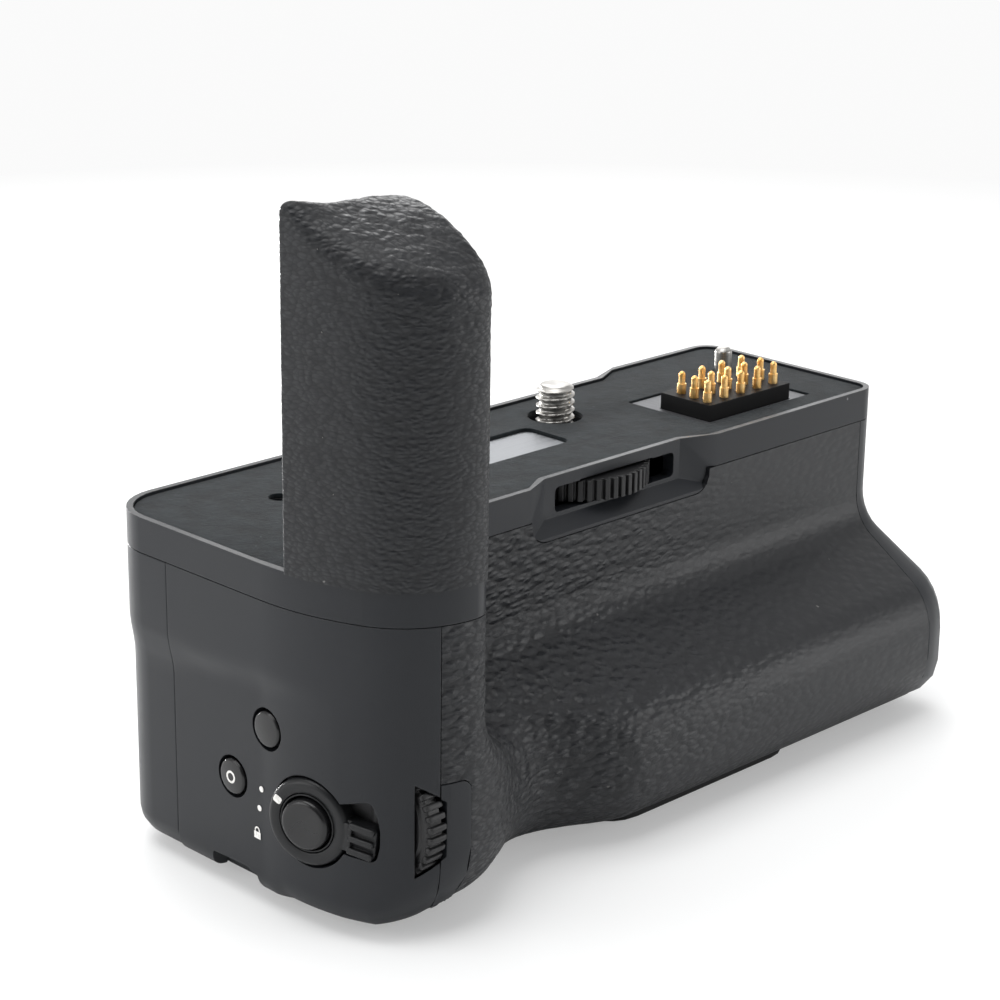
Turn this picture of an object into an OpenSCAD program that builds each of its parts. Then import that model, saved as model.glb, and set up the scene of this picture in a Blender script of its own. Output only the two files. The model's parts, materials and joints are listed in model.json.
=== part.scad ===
// Camera battery grip with a front grip post, vertical controls and a battery tray.
// Units are millimetres, +Z is up, the front of the grip faces -Y.
// Sizes are written from the left end (x = 0), the front wall (y = 0) and the table (z = 0).
// place() then moves everything so that the tripod socket is the origin.

/* [Body] */
// overall length of the body
body_l = 134.6; // [120:0.1:150]
// depth of the deck from front wall to back wall
body_d = 38.5; // [36:0.1:46]
// height of the deck rim above the table
rim_z = 53; // [50:0.5:60]
// height of the plain band under the rim
band_h = 5.3; // [4:0.1:7]
// gap between the body underside and the table
foot_h = 1.5; // [1:0.1:3]
// how far the lower front swells past the front wall
bulge = 20; // [14:0.5:22]
// how far the nose at the left end stands past the front wall
nose_out = 22.7; // [20:0.1:26]
// rounding under the front of the nose
nose_round = 13; // [8:0.5:13.5]
// rounding of the lower front corner at the right end
end_round = 8; // [5:0.5:9]
// wall of the moulded shells
wall = 2; // [1.6:0.1:2.6]
// thickness of the textured covering
skin_t = 1; // [0.6:0.1:1.4]
// gap left at the seams between shells
seam = 0.12; // [0.05:0.01:0.25]
// depth of the step across the left end
end_step = 1; // [0:0.1:1.6]

/* [Grip post] */
// top of the post at its back left corner
post_top = 104.4; // [90:0.1:115]
// distance of the post's back face in front of the front wall
post_back = 2.5; // [2:0.1:4]
// fall of the post's top towards the front, per millimetre
post_fall = 0.45; // [0.2:0.01:0.5]
// fall of the post's top towards the right, per millimetre
post_tilt = 0.13; // [0:0.01:0.2]
// swell of the post's top between back and front, at its right side
post_bow = 2.2; // [0:0.1:5]
// hollow of the post's top between back and front, at its left side
post_hollow = 2.6; // [0:0.1:4]
// rounding of the post's top edges
post_round = 2.4; // [1.5:0.1:3]

/* [Camera screw drive] */
// camera screw, distance from the left end
screw_x = 82; // [78:0.1:88]
// camera screw, distance behind the front wall
screw_y = 25.7; // [25:0.1:26.4]
// outside radius of the camera screw thread
screw_r = 3.175; // [3.1:0.005:3.2]
// how far the camera screw stands above the rim
screw_out = 4.6; // [4:0.1:6]
// radius of the knurled thumb wheel
wheel_r = 12.4; // [10.5:0.1:12.5]
// thickness of the thumb wheel
wheel_t = 3.4; // [2.8:0.1:3.5]
// thumb wheel axis behind the front wall
wheel_y = 12.2; // [11.9:0.1:12.6]
// teeth on each of the two drive gears
gear_teeth = 17; // [17:1:17]
// play between a turning shaft and its bore
run_gap = 0.05; // [0.03:0.01:0.08]

/* [Controls] */
// gap round buttons and levers
key_gap = 0.3; // [0.25:0.01:0.4]
// height of the shutter axis above the table
shutter_z = 16.7; // [16:0.1:18]
// shutter axis in front of the front wall
shutter_y = 5.7; // [5:0.1:6.4]
// turn of the shutter axis towards the front
shutter_turn = 17; // [10:1:22]
// radius of the shutter button
shutter_r = 3.75; // [3.4:0.05:4]
// outside radius of the lock ring
ring_r = 6.25; // [6:0.05:6.6]
// reach of the lock lever from the shutter axis
lever_reach = 10.8; // [9:0.1:11.4]
// radius of the two small end buttons
end_key_r = 2.7; // [2.2:0.05:3]
// stroke of the small buttons
key_stroke = 0.8; // [0.4:0.1:1]
// stroke of the shutter button
shutter_stroke = 1.2; // [0.8:0.1:1.4]
// radius of the front dial
front_dial_r = 9; // [8.6:0.1:9.2]
// radius of the rear dial
rear_dial_r = 7.5; // [7:0.1:8]
// thickness of both dials
dial_t = 3.2; // [2.8:0.1:3.4]

/* [Battery tray] */
// length of one battery
cell_l = 47.1; // [44:0.1:48]
// width of one battery
cell_w = 36.4; // [34:0.1:36.4]
// thickness of one battery
cell_h = 15.7; // [14:0.1:15.8]
// gap round the sliding tray
tray_gap = 0.4; // [0.3:0.05:0.6]

/* [Connector] */
// left end of the contact block, distance from the right end
block_in = 35.8; // [34.6:0.1:37.6]
// front of the contact block behind the front wall
block_y = 6.9; // [6.4:0.1:8]
// length of the contact block
block_l = 20.4; // [19:0.1:22]
// width of the contact block
block_w = 10.7; // [10:0.1:12]
// top of the contact block above the rim
block_up = 2; // [1.5:0.1:3]
// radius of one contact pin
pin_r = 0.75; // [0.4:0.05:0.8]
// top of the contact pins above the block
pin_up = 3.7; // [3:0.1:4]

/* [Hidden] */
$fn = 48;
foot_x = 78;
foot_y = 14;
block_x = body_l - block_in;
seam_z = rim_z - band_h;
deck_z = rim_z - 0.4;
pad_t = 0.8;
floor_z = deck_z - pad_t;
sub_z = floor_z - 2;
bot_z = foot_h;
nose_r = 14.5;
nose_cx = 16.8;
nose_cy = nose_r - nose_out;
sweep_r = 41;
sweep_a = 24;
sweep_cx = sweep_r;
sweep_cy = nose_cy + (sweep_r - nose_r) * sin(sweep_a);
seam_x = 11.3;
seam_a = 360 - acos((seam_x - nose_cx) / nose_r);
side_x = nose_cx + 4;
axis_d = gear_teeth;
wheel_x = screw_x - sqrt(axis_d * axis_d - (screw_y - wheel_y) * (screw_y - wheel_y));
wheel_z = rim_z - 5.6;
gear_z = rim_z - 13.5;
bay_z = 5.2;
bay_t = 0.8;
tray_z = bay_z + bay_t + 0.3;
cell_z = tray_z + 1;
cell_y = body_d - wall - 0.8 - bay_t - tray_gap - 1.1 - cell_w;
tray_y0 = cell_y - 1.1;
tray_y1 = cell_y + cell_w + 1.1;
tray_x0 = body_l - 4 - 2 * cell_l;
bay_y0 = tray_y0 - tray_gap - bay_t;
bay_y1 = tray_y1 + tray_gap + bay_t;
tray_top = cell_z + cell_h - 3;
bay_top = cell_z + cell_h + 0.5;
shutter_x = 0.85;
dial_x = 10.1;
dial_y = -nose_out + front_dial_r + 0.1;
dial_z = rim_z - 35.3;
rear_x = 15;
rear_y = body_d + 1.4 - rear_dial_r;
rear_z = 38;

module place() {
  translate([-foot_x, -foot_y, 0]) children();
}

// box from one corner to the other
module block(a, b) {
  translate(a) cube(b - a);
}

// rounded rectangle as points
function round_rect(x0, y0, x1, y1, r, n = 5) = concat(
  arc(x0 + r, y0 + r, r, 180, 270, n), arc(x1 - r, y0 + r, r, 270, 360, n),
  arc(x1 - r, y1 - r, r, 0, 90, n), arc(x0 + r, y1 - r, r, 90, 180, n));

function arc(cx, cy, r, a0, a1, n) =
  [for (i = [0:n]) let (a = a0 + (a1 - a0) * i / n) [cx + r * cos(a), cy + r * sin(a)]];

// shape drawn in y and z, pushed along x from x0 to x1
module push_x(x0, x1) {
  translate([x0, 0, 0]) rotate([90, 0, 90]) linear_extrude(height = x1 - x0) children();
}

// shape drawn in x and z, pushed along y from y0 to y1
module push_y(y0, y1) {
  translate([0, y1, 0]) rotate([90, 0, 0]) linear_extrude(height = y1 - y0) children();
}

module push_z(z0, z1) {
  translate([0, 0, z0]) linear_extrude(height = z1 - z0) children();
}

// rod along x
module rod_x(x0, x1, r) {
  translate([x0, 0, 0]) rotate([0, 90, 0]) cylinder(h = x1 - x0, r = r);
}

// plan outline of the band, moved inwards by d, counter-clockwise from the back left
function outline(d) = concat(
  arc(9, body_d - 9, 9 - d, 90, 180, 8),
  arc(sweep_cx, sweep_cy, sweep_r - d, 180, 180 + sweep_a, 8),
  arc(nose_cx, nose_cy, nose_r - d, 181 + sweep_a, 270, 14),
  arc(side_x - 4, 4 - nose_out, 4 - d, 276, 360, 6),
  arc(side_x + 5, -5, 5 + d, 180, 90, 6),
  arc(body_l - 3.7, 3.7, 3.7 - d, 270, 360, 6),
  arc(body_l - 4, body_d - 4, 4 - d, 0, 90, 6));

// plan outline of the deck behind the post, moved inwards by d
function deck_line(d) = concat(
  arc(9, body_d - 9, 9 - d, 90, 180, 8),
  [[d, 4], [0.4 + d, -post_back + 0.3]],
  [[side_x + 2.2, -post_back + 0.3], [side_x + 4.6, d]],
  arc(body_l - 3.7, 3.7, 3.7 - d, 270, 360, 6),
  arc(body_l - 4, body_d - 4, 4 - d, 0, 90, 6));

// A column of the shell surface holds its plan point above the shelf, its plan point
// below the shelf, the bottom rounding, how strongly the end step acts on it and, at the
// tight corners, its plan point on the underside.
function column(u, l, rb, ins, b) = [u[0], u[1], l[0], l[1], rb, ins, b];

function step_part(y) = y > 4 ? 1 : y < -10 ? 0 : (y + 10) / 14;

function end_columns() = concat(
  [for (p = concat([for (y = [23.5, 17, 10.6, 6]) [0, y]],
    arc(sweep_cx, sweep_cy, sweep_r, 180, 180 + sweep_a, 6)))
    column(p, p, p[1] > 0 ? 3.5 : 5, step_part(p[1]))],
  [for (i = [0:5]) let (a = 184 + sweep_a + i * (seam_a - 184.4 - sweep_a) / 5,
    p = [nose_cx + nose_r * cos(a), nose_cy + nose_r * sin(a)])
    let (rb = 5 + (nose_round - 7) * i / 5) column(p, p, rb, 0, nose_under(a, rb))]);

// point of the nose's underside at angle a, where the rounding is rb
function nose_under(a, rb) = [nose_cx, nose_cy] + (nose_r - rb) * [cos(a), sin(a)];

// plan points of the lower front, from the nose over the finger hollow to the swell
function hollow(t) = let (s = (1 - cos(180 * t)) / 2)
  [nose_cx + 1.4 + 38 * t,
    -nose_out + 0.2 + (nose_out - bulge) * s + (nose_out - 16.2) * pow(sin(180 * t), 2)];

function front_columns() = let (
    nose = arc(nose_cx, nose_cy, nose_r, seam_a, 270, 4),
    up = concat(arc(side_x - 4, 4 - nose_out, 4, 278, 360, 4),
      [[side_x, -13], [side_x, -8]], arc(side_x + 5, -5, 5, 180, 90, 4),
      [for (x = [30, 36, 42, 48, 55]) [x, 0]]),
    n = len(up),
    rest = [for (i = [1:6]) 55 + (body_l - 59.4) * i / 6])
  concat(
    [for (i = [0:4]) let (rb = nose_round - 2 + i / 2)
      column(nose[i], nose[i], rb, 0, nose_under(seam_a + (270 - seam_a) * i / 4, rb))],
    [for (i = [0:n - 1])
      column(up[i], hollow((i + 0.4) / (n - 0.6)), nose_round + (10 - nose_round) * i / (n - 1), 0)],
    [for (x = rest)
      column([x, 0], [x - (end_round - 3.7) * (x - 55) / (body_l - 59.4), -bulge], 10, 0)]);

function right_columns() = concat(
  [for (t = [270, 276, 297, 318, 339, 360])
    let (v = [cos(t), sin(t)], back = [t < 271 ? 0.6 : 0, 0])
    column([body_l - 3.7, 3.7] + 3.7 * v - back,
      [body_l - end_round, end_round - bulge] + end_round * v - back, 10 - 6 * (t - 270) / 90, 0,
      [body_l - end_round - 0.6 + (end_round - 3.4) * (t - 270) / 90, 10 - bulge])],
  [for (y = [12, 22, body_d - 6]) let (l = y - bulge * (body_d - 6 - y) / 30)
    column([body_l, y], [body_l, l], 4, 0, [body_l - 4, l])],
  [for (t = [0, 21, 42, 63, 84, 90])
    let (v = [cos(t), sin(t)], u = [body_l - 4, body_d - 4] + 4 * v)
    column(u - [t > 89 ? 0.3 : 0, 0], u - [t > 89 ? 0.3 : 0, 0], 4, 0,
      [body_l - 4.5, body_d - 4.5] + 0.5 * v)]);

function rear_columns() = [
  for (p = concat([for (x = [body_l - 4.4, 90, 48, 28, 12]) [x, body_d]],
    arc(9, body_d - 9, 9, 90, 180, 8), [[0, 26], [0, 23.6]]))
  column(p, p, 4, p[0] < 9 ? (9 - p[0]) / 9 : 0)];

// A row is [height, share of the swell, bottom angle]; the shelf is a hollow arc, a slope
// and a round arc.
shelf_a = 65;
shelf_in = 7;
shelf_out = 9;
shelf_z = rim_z - 18;
shelf_l = (bulge - (shelf_in + shelf_out) * (1 - cos(shelf_a))) / sin(shelf_a);
line_y = shelf_in * (1 - cos(shelf_a));
line_z = shelf_z - shelf_in * sin(shelf_a);
out_y = line_y + shelf_l * sin(shelf_a);
out_z = line_z - shelf_l * cos(shelf_a);
function bottom_rows(last) = [for (a = [0, 22, 45, 65, 80, 90]) if (a <= last) [0, 1, a]];
function shelf_rows(top, last) = concat([[top, 0, -1], [rim_z - 11, 0, -1]],
  [for (a = [0:13:65]) [shelf_z - shelf_in * sin(a), shelf_in * (1 - cos(a)) / bulge, -1]],
  [for (t = [0.33, 0.67]) [line_z - shelf_l * t * cos(shelf_a),
    (line_y + shelf_l * t * sin(shelf_a)) / bulge, -1]],
  [for (a = [65:-13:0]) [out_z - shelf_out * (sin(shelf_a) - sin(a)),
    (out_y + shelf_out * (cos(a) - cos(shelf_a))) / bulge, -1]],
  bottom_rows(last));
function plain_rows(top, last) = concat(
  [for (z = [top, rim_z - 10, rim_z - 12, rim_z - 13.4, rim_z - 14.8, rim_z - 16.2, rim_z - 17.6,
    rim_z - 19.5, 24, bot_z + nose_round]) [z, 1, -1]], bottom_rows(last));

function step_at(z) = let (t = min(1, max(0, (rim_z - 11.5 - z) / 7))) t * t * (3 - 2 * t);

function inward(cols, i) = let (n = len(cols) - 1, a = cols[max(i - 1, 0)], b = cols[min(i + 1, n)],
  dx = b[2] - a[2], dy = b[3] - a[3], l = norm([dx, dy])) [-dy / l, dx / l];

function under_point(cols, i) = let (c = cols[i])
  is_undef(c[6]) ? [c[2], c[3]] + c[4] * inward(cols, i) : c[6];

function surface_point(cols, i, row) =
  let (c = cols[i], g = row[1], a = row[2], b = under_point(cols, i))
  a < 0
  ? [c[0] + (c[2] - c[0]) * g + end_step * c[5] * step_at(row[0]), c[1] + (c[3] - c[1]) * g, row[0]]
  : [c[2] + end_step * c[5] + (b[0] - c[2]) * (1 - cos(a)), c[3] + (b[1] - c[3]) * (1 - cos(a)),
    bot_z + c[4] * (1 - sin(a))];

// closed sheet between two depths below the shell surface
module sheet(cols, rows, d0, d1) {
  ni = len(cols) - 1;
  nj = len(rows) - 1;
  p = [for (i = [0:ni]) [for (j = [0:nj]) surface_point(cols, i, rows[j])]];
  nrm = [for (i = [0:ni]) [for (j = [0:nj]) let (
    du = p[min(i + 1, ni)][j] - p[max(i - 1, 0)][j],
    dv = p[i][min(j + 1, nj)] - p[i][max(j - 1, 0)],
    c = cross(du, dv)) c / norm(c)]];
  m = nj + 1;
  q = (ni + 1) * m;
  pts = concat([for (i = [0:ni]) for (j = [0:nj]) p[i][j] + d0 * nrm[i][j]],
    [for (i = [0:ni]) for (j = [0:nj]) p[i][j] + d1 * nrm[i][j]]);
  faces = concat(
    [for (i = [0:ni - 1]) for (j = [0:nj - 1]) let (a = i * m + j)
      each [[a, a + m, a + m + 1], [a, a + m + 1, a + 1]]],
    [for (i = [0:ni - 1]) for (j = [0:nj - 1]) let (a = q + i * m + j)
      each [[a, a + m + 1, a + m], [a, a + 1, a + m + 1]]],
    [for (i = [0:ni - 1]) let (a = i * m, b = a + m) each [[b, a, a + q], [b, a + q, b + q]]],
    [for (i = [0:ni - 1]) let (a = i * m + nj, b = a + m) each [[a, b, b + q], [a, b + q, a + q]]],
    [for (j = [0:nj - 1]) let (a = j, b = a + 1) each [[a, b, b + q], [a, b + q, a + q]]],
    [for (j = [0:nj - 1]) let (a = ni * m + j, b = a + 1) each [[b, a, a + q], [b, a + q, b + q]]]);
  polyhedron(points = pts, faces = faces, convexity = 8);
}

// frame of the shutter axis, looking outwards along +z
module at_shutter() {
  translate([shutter_x, -shutter_y, shutter_z]) rotate([0, 0, shutter_turn]) rotate([0, -90, 0])
    children();
}

// frame of an end button on the stepped face, looking outwards along +z
module at_end(y, z) {
  translate([end_step, y, z]) rotate([0, -90, 0]) children();
}

// frame of a back control, looking outwards along +z
module at_back(x, z) {
  translate([x, body_d, z]) rotate([-90, 0, 0]) children();
}

// plan of the thumb recess in the front edge, grown by d
module scoop_plan(d) {
  polygon([[49.2 - d, -3], [49.2 - d, -0.4], [55.6 - 0.45 * d, 2.4 + d], [86.4 + 0.35 * d, 2.4 + d],
    [93.4 + d, -0.2], [93.4 + d, -3]]);
}

// plan of the shallow recess in the back edge, grown by d
module back_plan(d) {
  y = body_d;
  polygon([[40 - d, y + 3], [40 - d, y], [46.4 - 0.4 * d, y - 2.4 - d], [103 + 0.4 * d, y - 2.4 - d],
    [109.6 + d, y], [109.6 + d, y + 3]]);
}

module deck_plan(d) {
  difference() {
    polygon(deck_line(d));
    scoop_plan(d);
    back_plan(d);
  }
}

plate_x0 = block_x - 2;
plate_x1 = block_x + block_l + 4;
plate_y0 = block_y - 1.1;
plate_y1 = block_y + block_w + 5.4;
guide_x = plate_x1 + 0.3;
guide_y = plate_y1 + 2.2;
guide_r = 1.5;
label_x0 = 46;
label_x1 = 74;
label_y0 = 14.4;
label_y1 = 24.3;
boss_at = [[62, body_d - 10.5], [54.8, 12], [93.5, body_d - 5.1]];
boss_r = 2.2;
bracket_z = gear_z - 1.5;

// opening for the contact block, from height z0 up
block_gap = 0.15;
module block_room(z0) {
  block([block_x - block_gap, block_y - block_gap, z0],
    [block_x + block_l + block_gap, block_y + block_w + block_gap, rim_z]);
}

module top_frame() {
  color([0.07, 0.07, 0.075]) place() difference() {
    union() {
      difference() {
        push_z(seam_z, rim_z) polygon(outline(0));
        push_z(seam_z - 1, sub_z) polygon(outline(wall + 0.6));
        push_z(floor_z, rim_z + 1) deck_plan(1);
        block([-1, -nose_out - 1, rim_z - 0.3], [side_x + 1.2, -post_back + 0.05, rim_z + 1]);
      }
      push_y(0, 4.6) polygon(round_rect(50.8, rim_z - 9, 91, sub_z + 1, 3));
      for (p = boss_at)
        translate([p[0], p[1], bracket_z]) cylinder(h = sub_z + 0.1 - bracket_z, r = boss_r);
    }
    intersection() {
      push_z(rim_z - 10, rim_z + 1) scoop_plan(0);
      push_x(48, 95) polygon([[-4, rim_z - 8.8], [0, rim_z - 8.5], [2.6, rim_z - 6.4],
        [2.6, rim_z + 2], [-4, rim_z + 2]]);
    }
    push_z(rim_z - 4, rim_z + 1) back_plan(0);
    push_y(-1, 8) polygon(round_rect(57.9, wheel_z - 0.3, 85, wheel_z + wheel_t + 0.3, 0.8, 3));
    translate([wheel_x, wheel_y, wheel_z - 0.35]) cylinder(h = wheel_t + 0.8, r = wheel_r + 0.4);
    translate([screw_x, screw_y, sub_z - 1]) cylinder(h = 4, r = 4.5);
    block_room(sub_z - 1);
    translate([guide_x, guide_y, sub_z - 1]) cylinder(h = 5, r = guide_r);
    translate([21.6, 23.8, sub_z + 0.6]) cylinder(h = 5, r = 1.7);
    for (p = boss_at) translate([p[0], p[1], bracket_z - 1]) cylinder(h = 6, r = 1);
  }
}

module deck_pad() {
  color([0.05, 0.055, 0.06]) place() difference() {
    push_z(floor_z, deck_z) deck_plan(1 + seam);
    block([plate_x0, plate_y0, floor_z - 1], [plate_x1, plate_y1, rim_z]);
    push_z(floor_z - 1, rim_z) polygon(round_rect(label_x0, label_y0, label_x1, label_y1, 1.6));
    translate([screw_x, screw_y, floor_z - 1]) cylinder(h = 3, r = 4.5);
    translate([guide_x, guide_y, floor_z - 1]) cylinder(h = 3, r = guide_r + 0.1);
    translate([21.6, 23.8, floor_z - 1]) cylinder(h = 3, r = 1.7);
  }
}

module label_plate() {
  color([0.72, 0.73, 0.74]) place() push_z(floor_z, floor_z + 0.25)
    polygon(round_rect(label_x0 + seam, label_y0 + seam, label_x1 - seam, label_y1 - seam, 1.5));
}

module connector_plate() {
  color([0.62, 0.63, 0.64]) place() difference() {
    block([plate_x0 + seam, plate_y0 + seam, floor_z],
      [plate_x1 - seam, plate_y1 - seam, floor_z + 0.5]);
    block_room(floor_z - 1);
  }
}

pin_step = (block_l - 3.6) / 4;
function pin_spots() = concat(
  [for (i = [0:4]) [block_x + 1.6 + i * pin_step, block_y + 2]],
  [for (i = [0:4]) [block_x + 1.9 + i * pin_step, block_y + 5.1]],
  [for (i = [0:3]) [block_x + 2.4 + i * 5.05, block_y + 8.3]]);

module contact_block() {
  color([0.02, 0.02, 0.022]) place() difference() {
    union() {
      block([block_x, block_y, sub_z - 2], [block_x + block_l, block_y + block_w, rim_z + block_up]);
      block([block_x - 1.4, block_y - 1.4, sub_z - 2],
        [block_x + block_l + 1.4, block_y + block_w + 1.4, sub_z]);
    }
    for (p = pin_spots())
      translate([p[0], p[1], sub_z - 3]) cylinder(h = 12, r = pin_r + run_gap, $fn = 24);
  }
}

module contact_pins() {
  top = rim_z + block_up + pin_up;
  color([0.83, 0.62, 0.25]) place() for (p = pin_spots()) translate([p[0], p[1], 0]) {
    translate([0, 0, sub_z - 1.5]) cylinder(h = top - pin_r - sub_z + 1.5, r = pin_r, $fn = 24);
    translate([0, 0, top - pin_r]) cylinder(h = pin_r, r1 = pin_r, r2 = pin_r * 0.45, $fn = 24);
  }
}

module guide_pin() {
  color([0.75, 0.74, 0.72]) place() translate([guide_x, guide_y, sub_z]) {
    cylinder(h = deck_z + 3.6 - sub_z, r = guide_r);
    translate([0, 0, deck_z + 3.6 - sub_z]) cylinder(h = 0.7, r1 = guide_r, r2 = guide_r - 0.6);
  }
}

module recess_notch() {
  push_y(-4, 7) polygon(round_rect(50.8 - seam, rim_z - 9 - seam, 91 + seam, rim_z, 3 + seam));
}

// room for the front dial, the same width in every piece it passes
module dial_slot() {
  translate([0, dial_y, dial_z])
    rod_x(dial_x - dial_t / 2 - 0.4, dial_x + dial_t / 2 + 0.35, front_dial_r + 0.35);
}

// everything round the nose between two angles
module seam_wedge(a0, a1) {
  push_z(0, rim_z) polygon(concat([[nose_cx, nose_cy]], arc(nose_cx, nose_cy, 40, a0, a1, 6)));
}

module front_case() {
  color([0.06, 0.06, 0.065]) place() difference() {
    sheet(front_columns(), shelf_rows(seam_z - seam, 90), skin_t + 0.03, skin_t + 0.8 * wall);
    recess_notch();
    dial_slot();
    seam_wedge(seam_a - 50, seam_a);
  }
}

bezel_x1 = 16;
bezel_z0 = rim_z - 49.2;
bezel_z1 = rim_z - 28.6;
bezel_r = 1.8;
bezel_out = 0.15;
module front_skin() {
  color([0.035, 0.035, 0.037]) place() difference() {
    sheet(front_columns(), shelf_rows(seam_z - seam, 80), 0, skin_t);
    recess_notch();
    seam_wedge(seam_a - 50, seam_a);
    push_y(-nose_out - 3, -nose_out + 12)
      polygon(round_rect(8, bezel_z0 - seam, bezel_x1 + seam, bezel_z1 + seam, bezel_r + seam));
  }
}

module dial_bezel() {
  color([0.06, 0.06, 0.065]) place() difference() {
    intersection() {
      sheet(front_columns(), shelf_rows(seam_z - seam, 80), -bezel_out, skin_t);
      push_y(-nose_out - 3, -nose_out + 12)
        polygon(round_rect(8, bezel_z0, bezel_x1, bezel_z1, bezel_r));
    }
    dial_slot();
    seam_wedge(seam_a - 50, seam_a);
  }
}

lever_a = -96;
lever_w = 4.8;
lever_swing = 20;
// room that the lock lever sweeps, from depth z0 outwards
module lever_room(z0) {
  r = lever_reach + 0.6;
  s = lever_w / 2 + key_gap;
  a = asin(s / r);
  push_z(z0, z0 + 12) polygon(concat([[s * sin(lever_a), -s * cos(lever_a)]],
    arc(0, 0, r, lever_a - a, lever_a + lever_swing + a, 8),
    [[-s * sin(lever_a + lever_swing), s * cos(lever_a + lever_swing)]]));
}

module end_cover() {
  color([0.07, 0.07, 0.075]) place() difference() {
    sheet(end_columns(), plain_rows(seam_z - seam, 90), 0, wall);
    seam_wedge(seam_a - 0.3, seam_a + 50);
    at_shutter() translate([0, 0, -8]) cylinder(h = 14, r = ring_r + key_gap);
    at_shutter() lever_room(-6);
    for (k = [[fn_y, fn_z], [quick_y, quick_z]])
      at_end(k[0], k[1]) translate([0, 0, -4]) cylinder(h = 8, r = end_key_r + key_gap + 0.2);
    dial_slot();
    push_x(-2, 8) polygon([[5, -1], [5.6, 4.4], [8, 5.2], [15.4, 5], [17.6, -1]]);
  }
}
fn_y = 2.8;
fn_z = 28.1;
quick_y = 10.6;
quick_z = 18.4;

door_y0 = tray_y0 - 0.9;
door_y1 = tray_y1 + 0.9;
door_z0 = bay_z + 0.3;
door_z1 = bay_top + 0.5;
module right_end() {
  color([0.07, 0.07, 0.075]) place() difference() {
    sheet(right_columns(), shelf_rows(seam_z - seam, 90), 0, wall);
    push_x(body_l - 6, body_l + 2)
      polygon(round_rect(door_y0 - key_gap, door_z0 - key_gap, door_y1 + key_gap, door_z1 + key_gap,
        2.5 + key_gap));
  }
}

stick_x = 36;
key_x = 26;
key_hi = 43;
key_lo = 33;
back_key_r = 3;
module rear_case() {
  color([0.07, 0.07, 0.075]) place() difference() {
    sheet(rear_columns(), plain_rows(seam_z - seam, 90), 0, wall);
    translate([0, rear_y, rear_z])
      rod_x(rear_x - dial_t / 2 - 0.4, rear_x + dial_t / 2 + 0.4, rear_dial_r + 0.4);
    for (z = [key_hi, key_lo])
      at_back(key_x, z) translate([0, 0, -4]) cylinder(h = 8, r = back_key_r + key_gap);
    at_back(stick_x, rear_z) translate([0, 0, -4]) cylinder(h = 8, r = 3.8);
  }
}

floor_gap = seam + 0.25;
function floor_points(cols) = [for (i = [0:len(cols) - 1])
  under_point(cols, i) + [end_step * cols[i][5], 0] + floor_gap * inward(cols, i)];
bush_r = 5;
floor_screws = [[8.5, 12], [8.5, -4]];
module bottom_cover() {
  color([0.06, 0.06, 0.065]) place() difference() {
    push_z(bot_z, bot_z + wall)
      polygon(concat(floor_points(end_columns()), floor_points(front_columns()),
        [for (y = [10 - bulge + floor_gap, body_d - 4 - floor_gap]) [body_l - 4 - floor_gap, y]],
        floor_points(rear_columns())));
    translate([foot_x, foot_y, 0]) cylinder(h = 9, r = bush_r);
    for (p = floor_screws) translate([p[0], p[1], 0]) cylinder(h = 9, r = 1);
    for (p = floor_screws) translate([p[0], p[1], 0]) cylinder(h = bot_z + 1, r = 2);
  }
}

module foot_plate() {
  color([0.04, 0.04, 0.042]) place() difference() {
    union() {
      push_z(0, 0.5) polygon(round_rect(foot_x - 22, -12.2, foot_x + 22, body_d - 7.5, 6));
      push_z(0.5, bot_z) polygon(round_rect(foot_x - 22.8, -13, foot_x + 22.8, body_d - 6.7, 6.6));
    }
    translate([foot_x, foot_y, -1]) cylinder(h = 9, r = bush_r);
  }
}

bush_bore = 3.2;
module tripod_bush() {
  color([0.6, 0.6, 0.58]) place() translate([foot_x, foot_y, 0]) difference() {
    union() {
      cylinder(h = bay_z - 0.2, r = bush_r);
      translate([0, 0, bot_z + wall]) cylinder(h = 0.9, r = bush_r + 1.4);
    }
    translate([0, 0, -1]) cylinder(h = bay_z + 0.2, r = bush_bore);
  }
}

post_z0 = rim_z - 0.3;
function post_line(d, yb) = concat(
  arc(sweep_cx, sweep_cy, sweep_r - d, 180 + asin((sweep_cy - yb) / (sweep_r - d)), 180 + sweep_a, 5),
  arc(nose_cx, nose_cy, nose_r - d, 185 + sweep_a, 270, 9),
  arc(side_x - 4, 4 - nose_out, 4 - d, 286, 360, 5),
  [[side_x + 0.1 - d, -13], [side_x + 0.6 - d, yb - 1.2], [side_x - 0.6 - d, yb]]);
post_mid = (post_back + nose_out) / 2;
function post_height(x, y) = post_top - post_tilt * x + post_fall * (y + post_back)
  + ((post_bow + post_hollow) * x / side_x - post_hollow)
  * (1 - pow((y + post_mid) / (nose_out - post_mid), 2));

// closed post shape, moved inwards by d, with its back face at yb and rounded top edges
module post_shape(d, r, yb) {
  ring = post_line(d, yb);
  n = len(ring);
  mid = [11, -11];
  steps = [0, 30, 60, 90];
  function pull(p, s) = let (v = mid - p, l = norm(v)) p + v * (s / l);
  tops = [for (a = steps) [for (p = ring) let (q = pull(p, r * (1 - cos(a))))
    [q[0], q[1], post_height(q[0], q[1]) - d - r * (1 - sin(a))]]];
  cap = [for (p = ring) let (q = p + (mid - p) * 0.55) [q[0], q[1], post_height(q[0], q[1]) - d]];
  levels = concat([[for (p = ring) [p[0], p[1], post_z0]]], tops, [cap]);
  m = len(levels);
  polyhedron(
    points = concat([for (l = levels) each l], [[mid[0], mid[1], post_height(mid[0], mid[1]) - d]]),
    faces = concat(
      [[for (i = [0:n - 1]) i]],
      [for (i = [0:n - 1]) [(m - 1) * n + i, m * n, (m - 1) * n + (i + 1) % n]],
      [for (k = [0:m - 2]) for (i = [0:n - 1]) let (a = k * n + i, b = k * n + (i + 1) % n)
        each [[a, a + n, b + n], [a, b + n, b]]]),
    convexity = 4);
}

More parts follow.
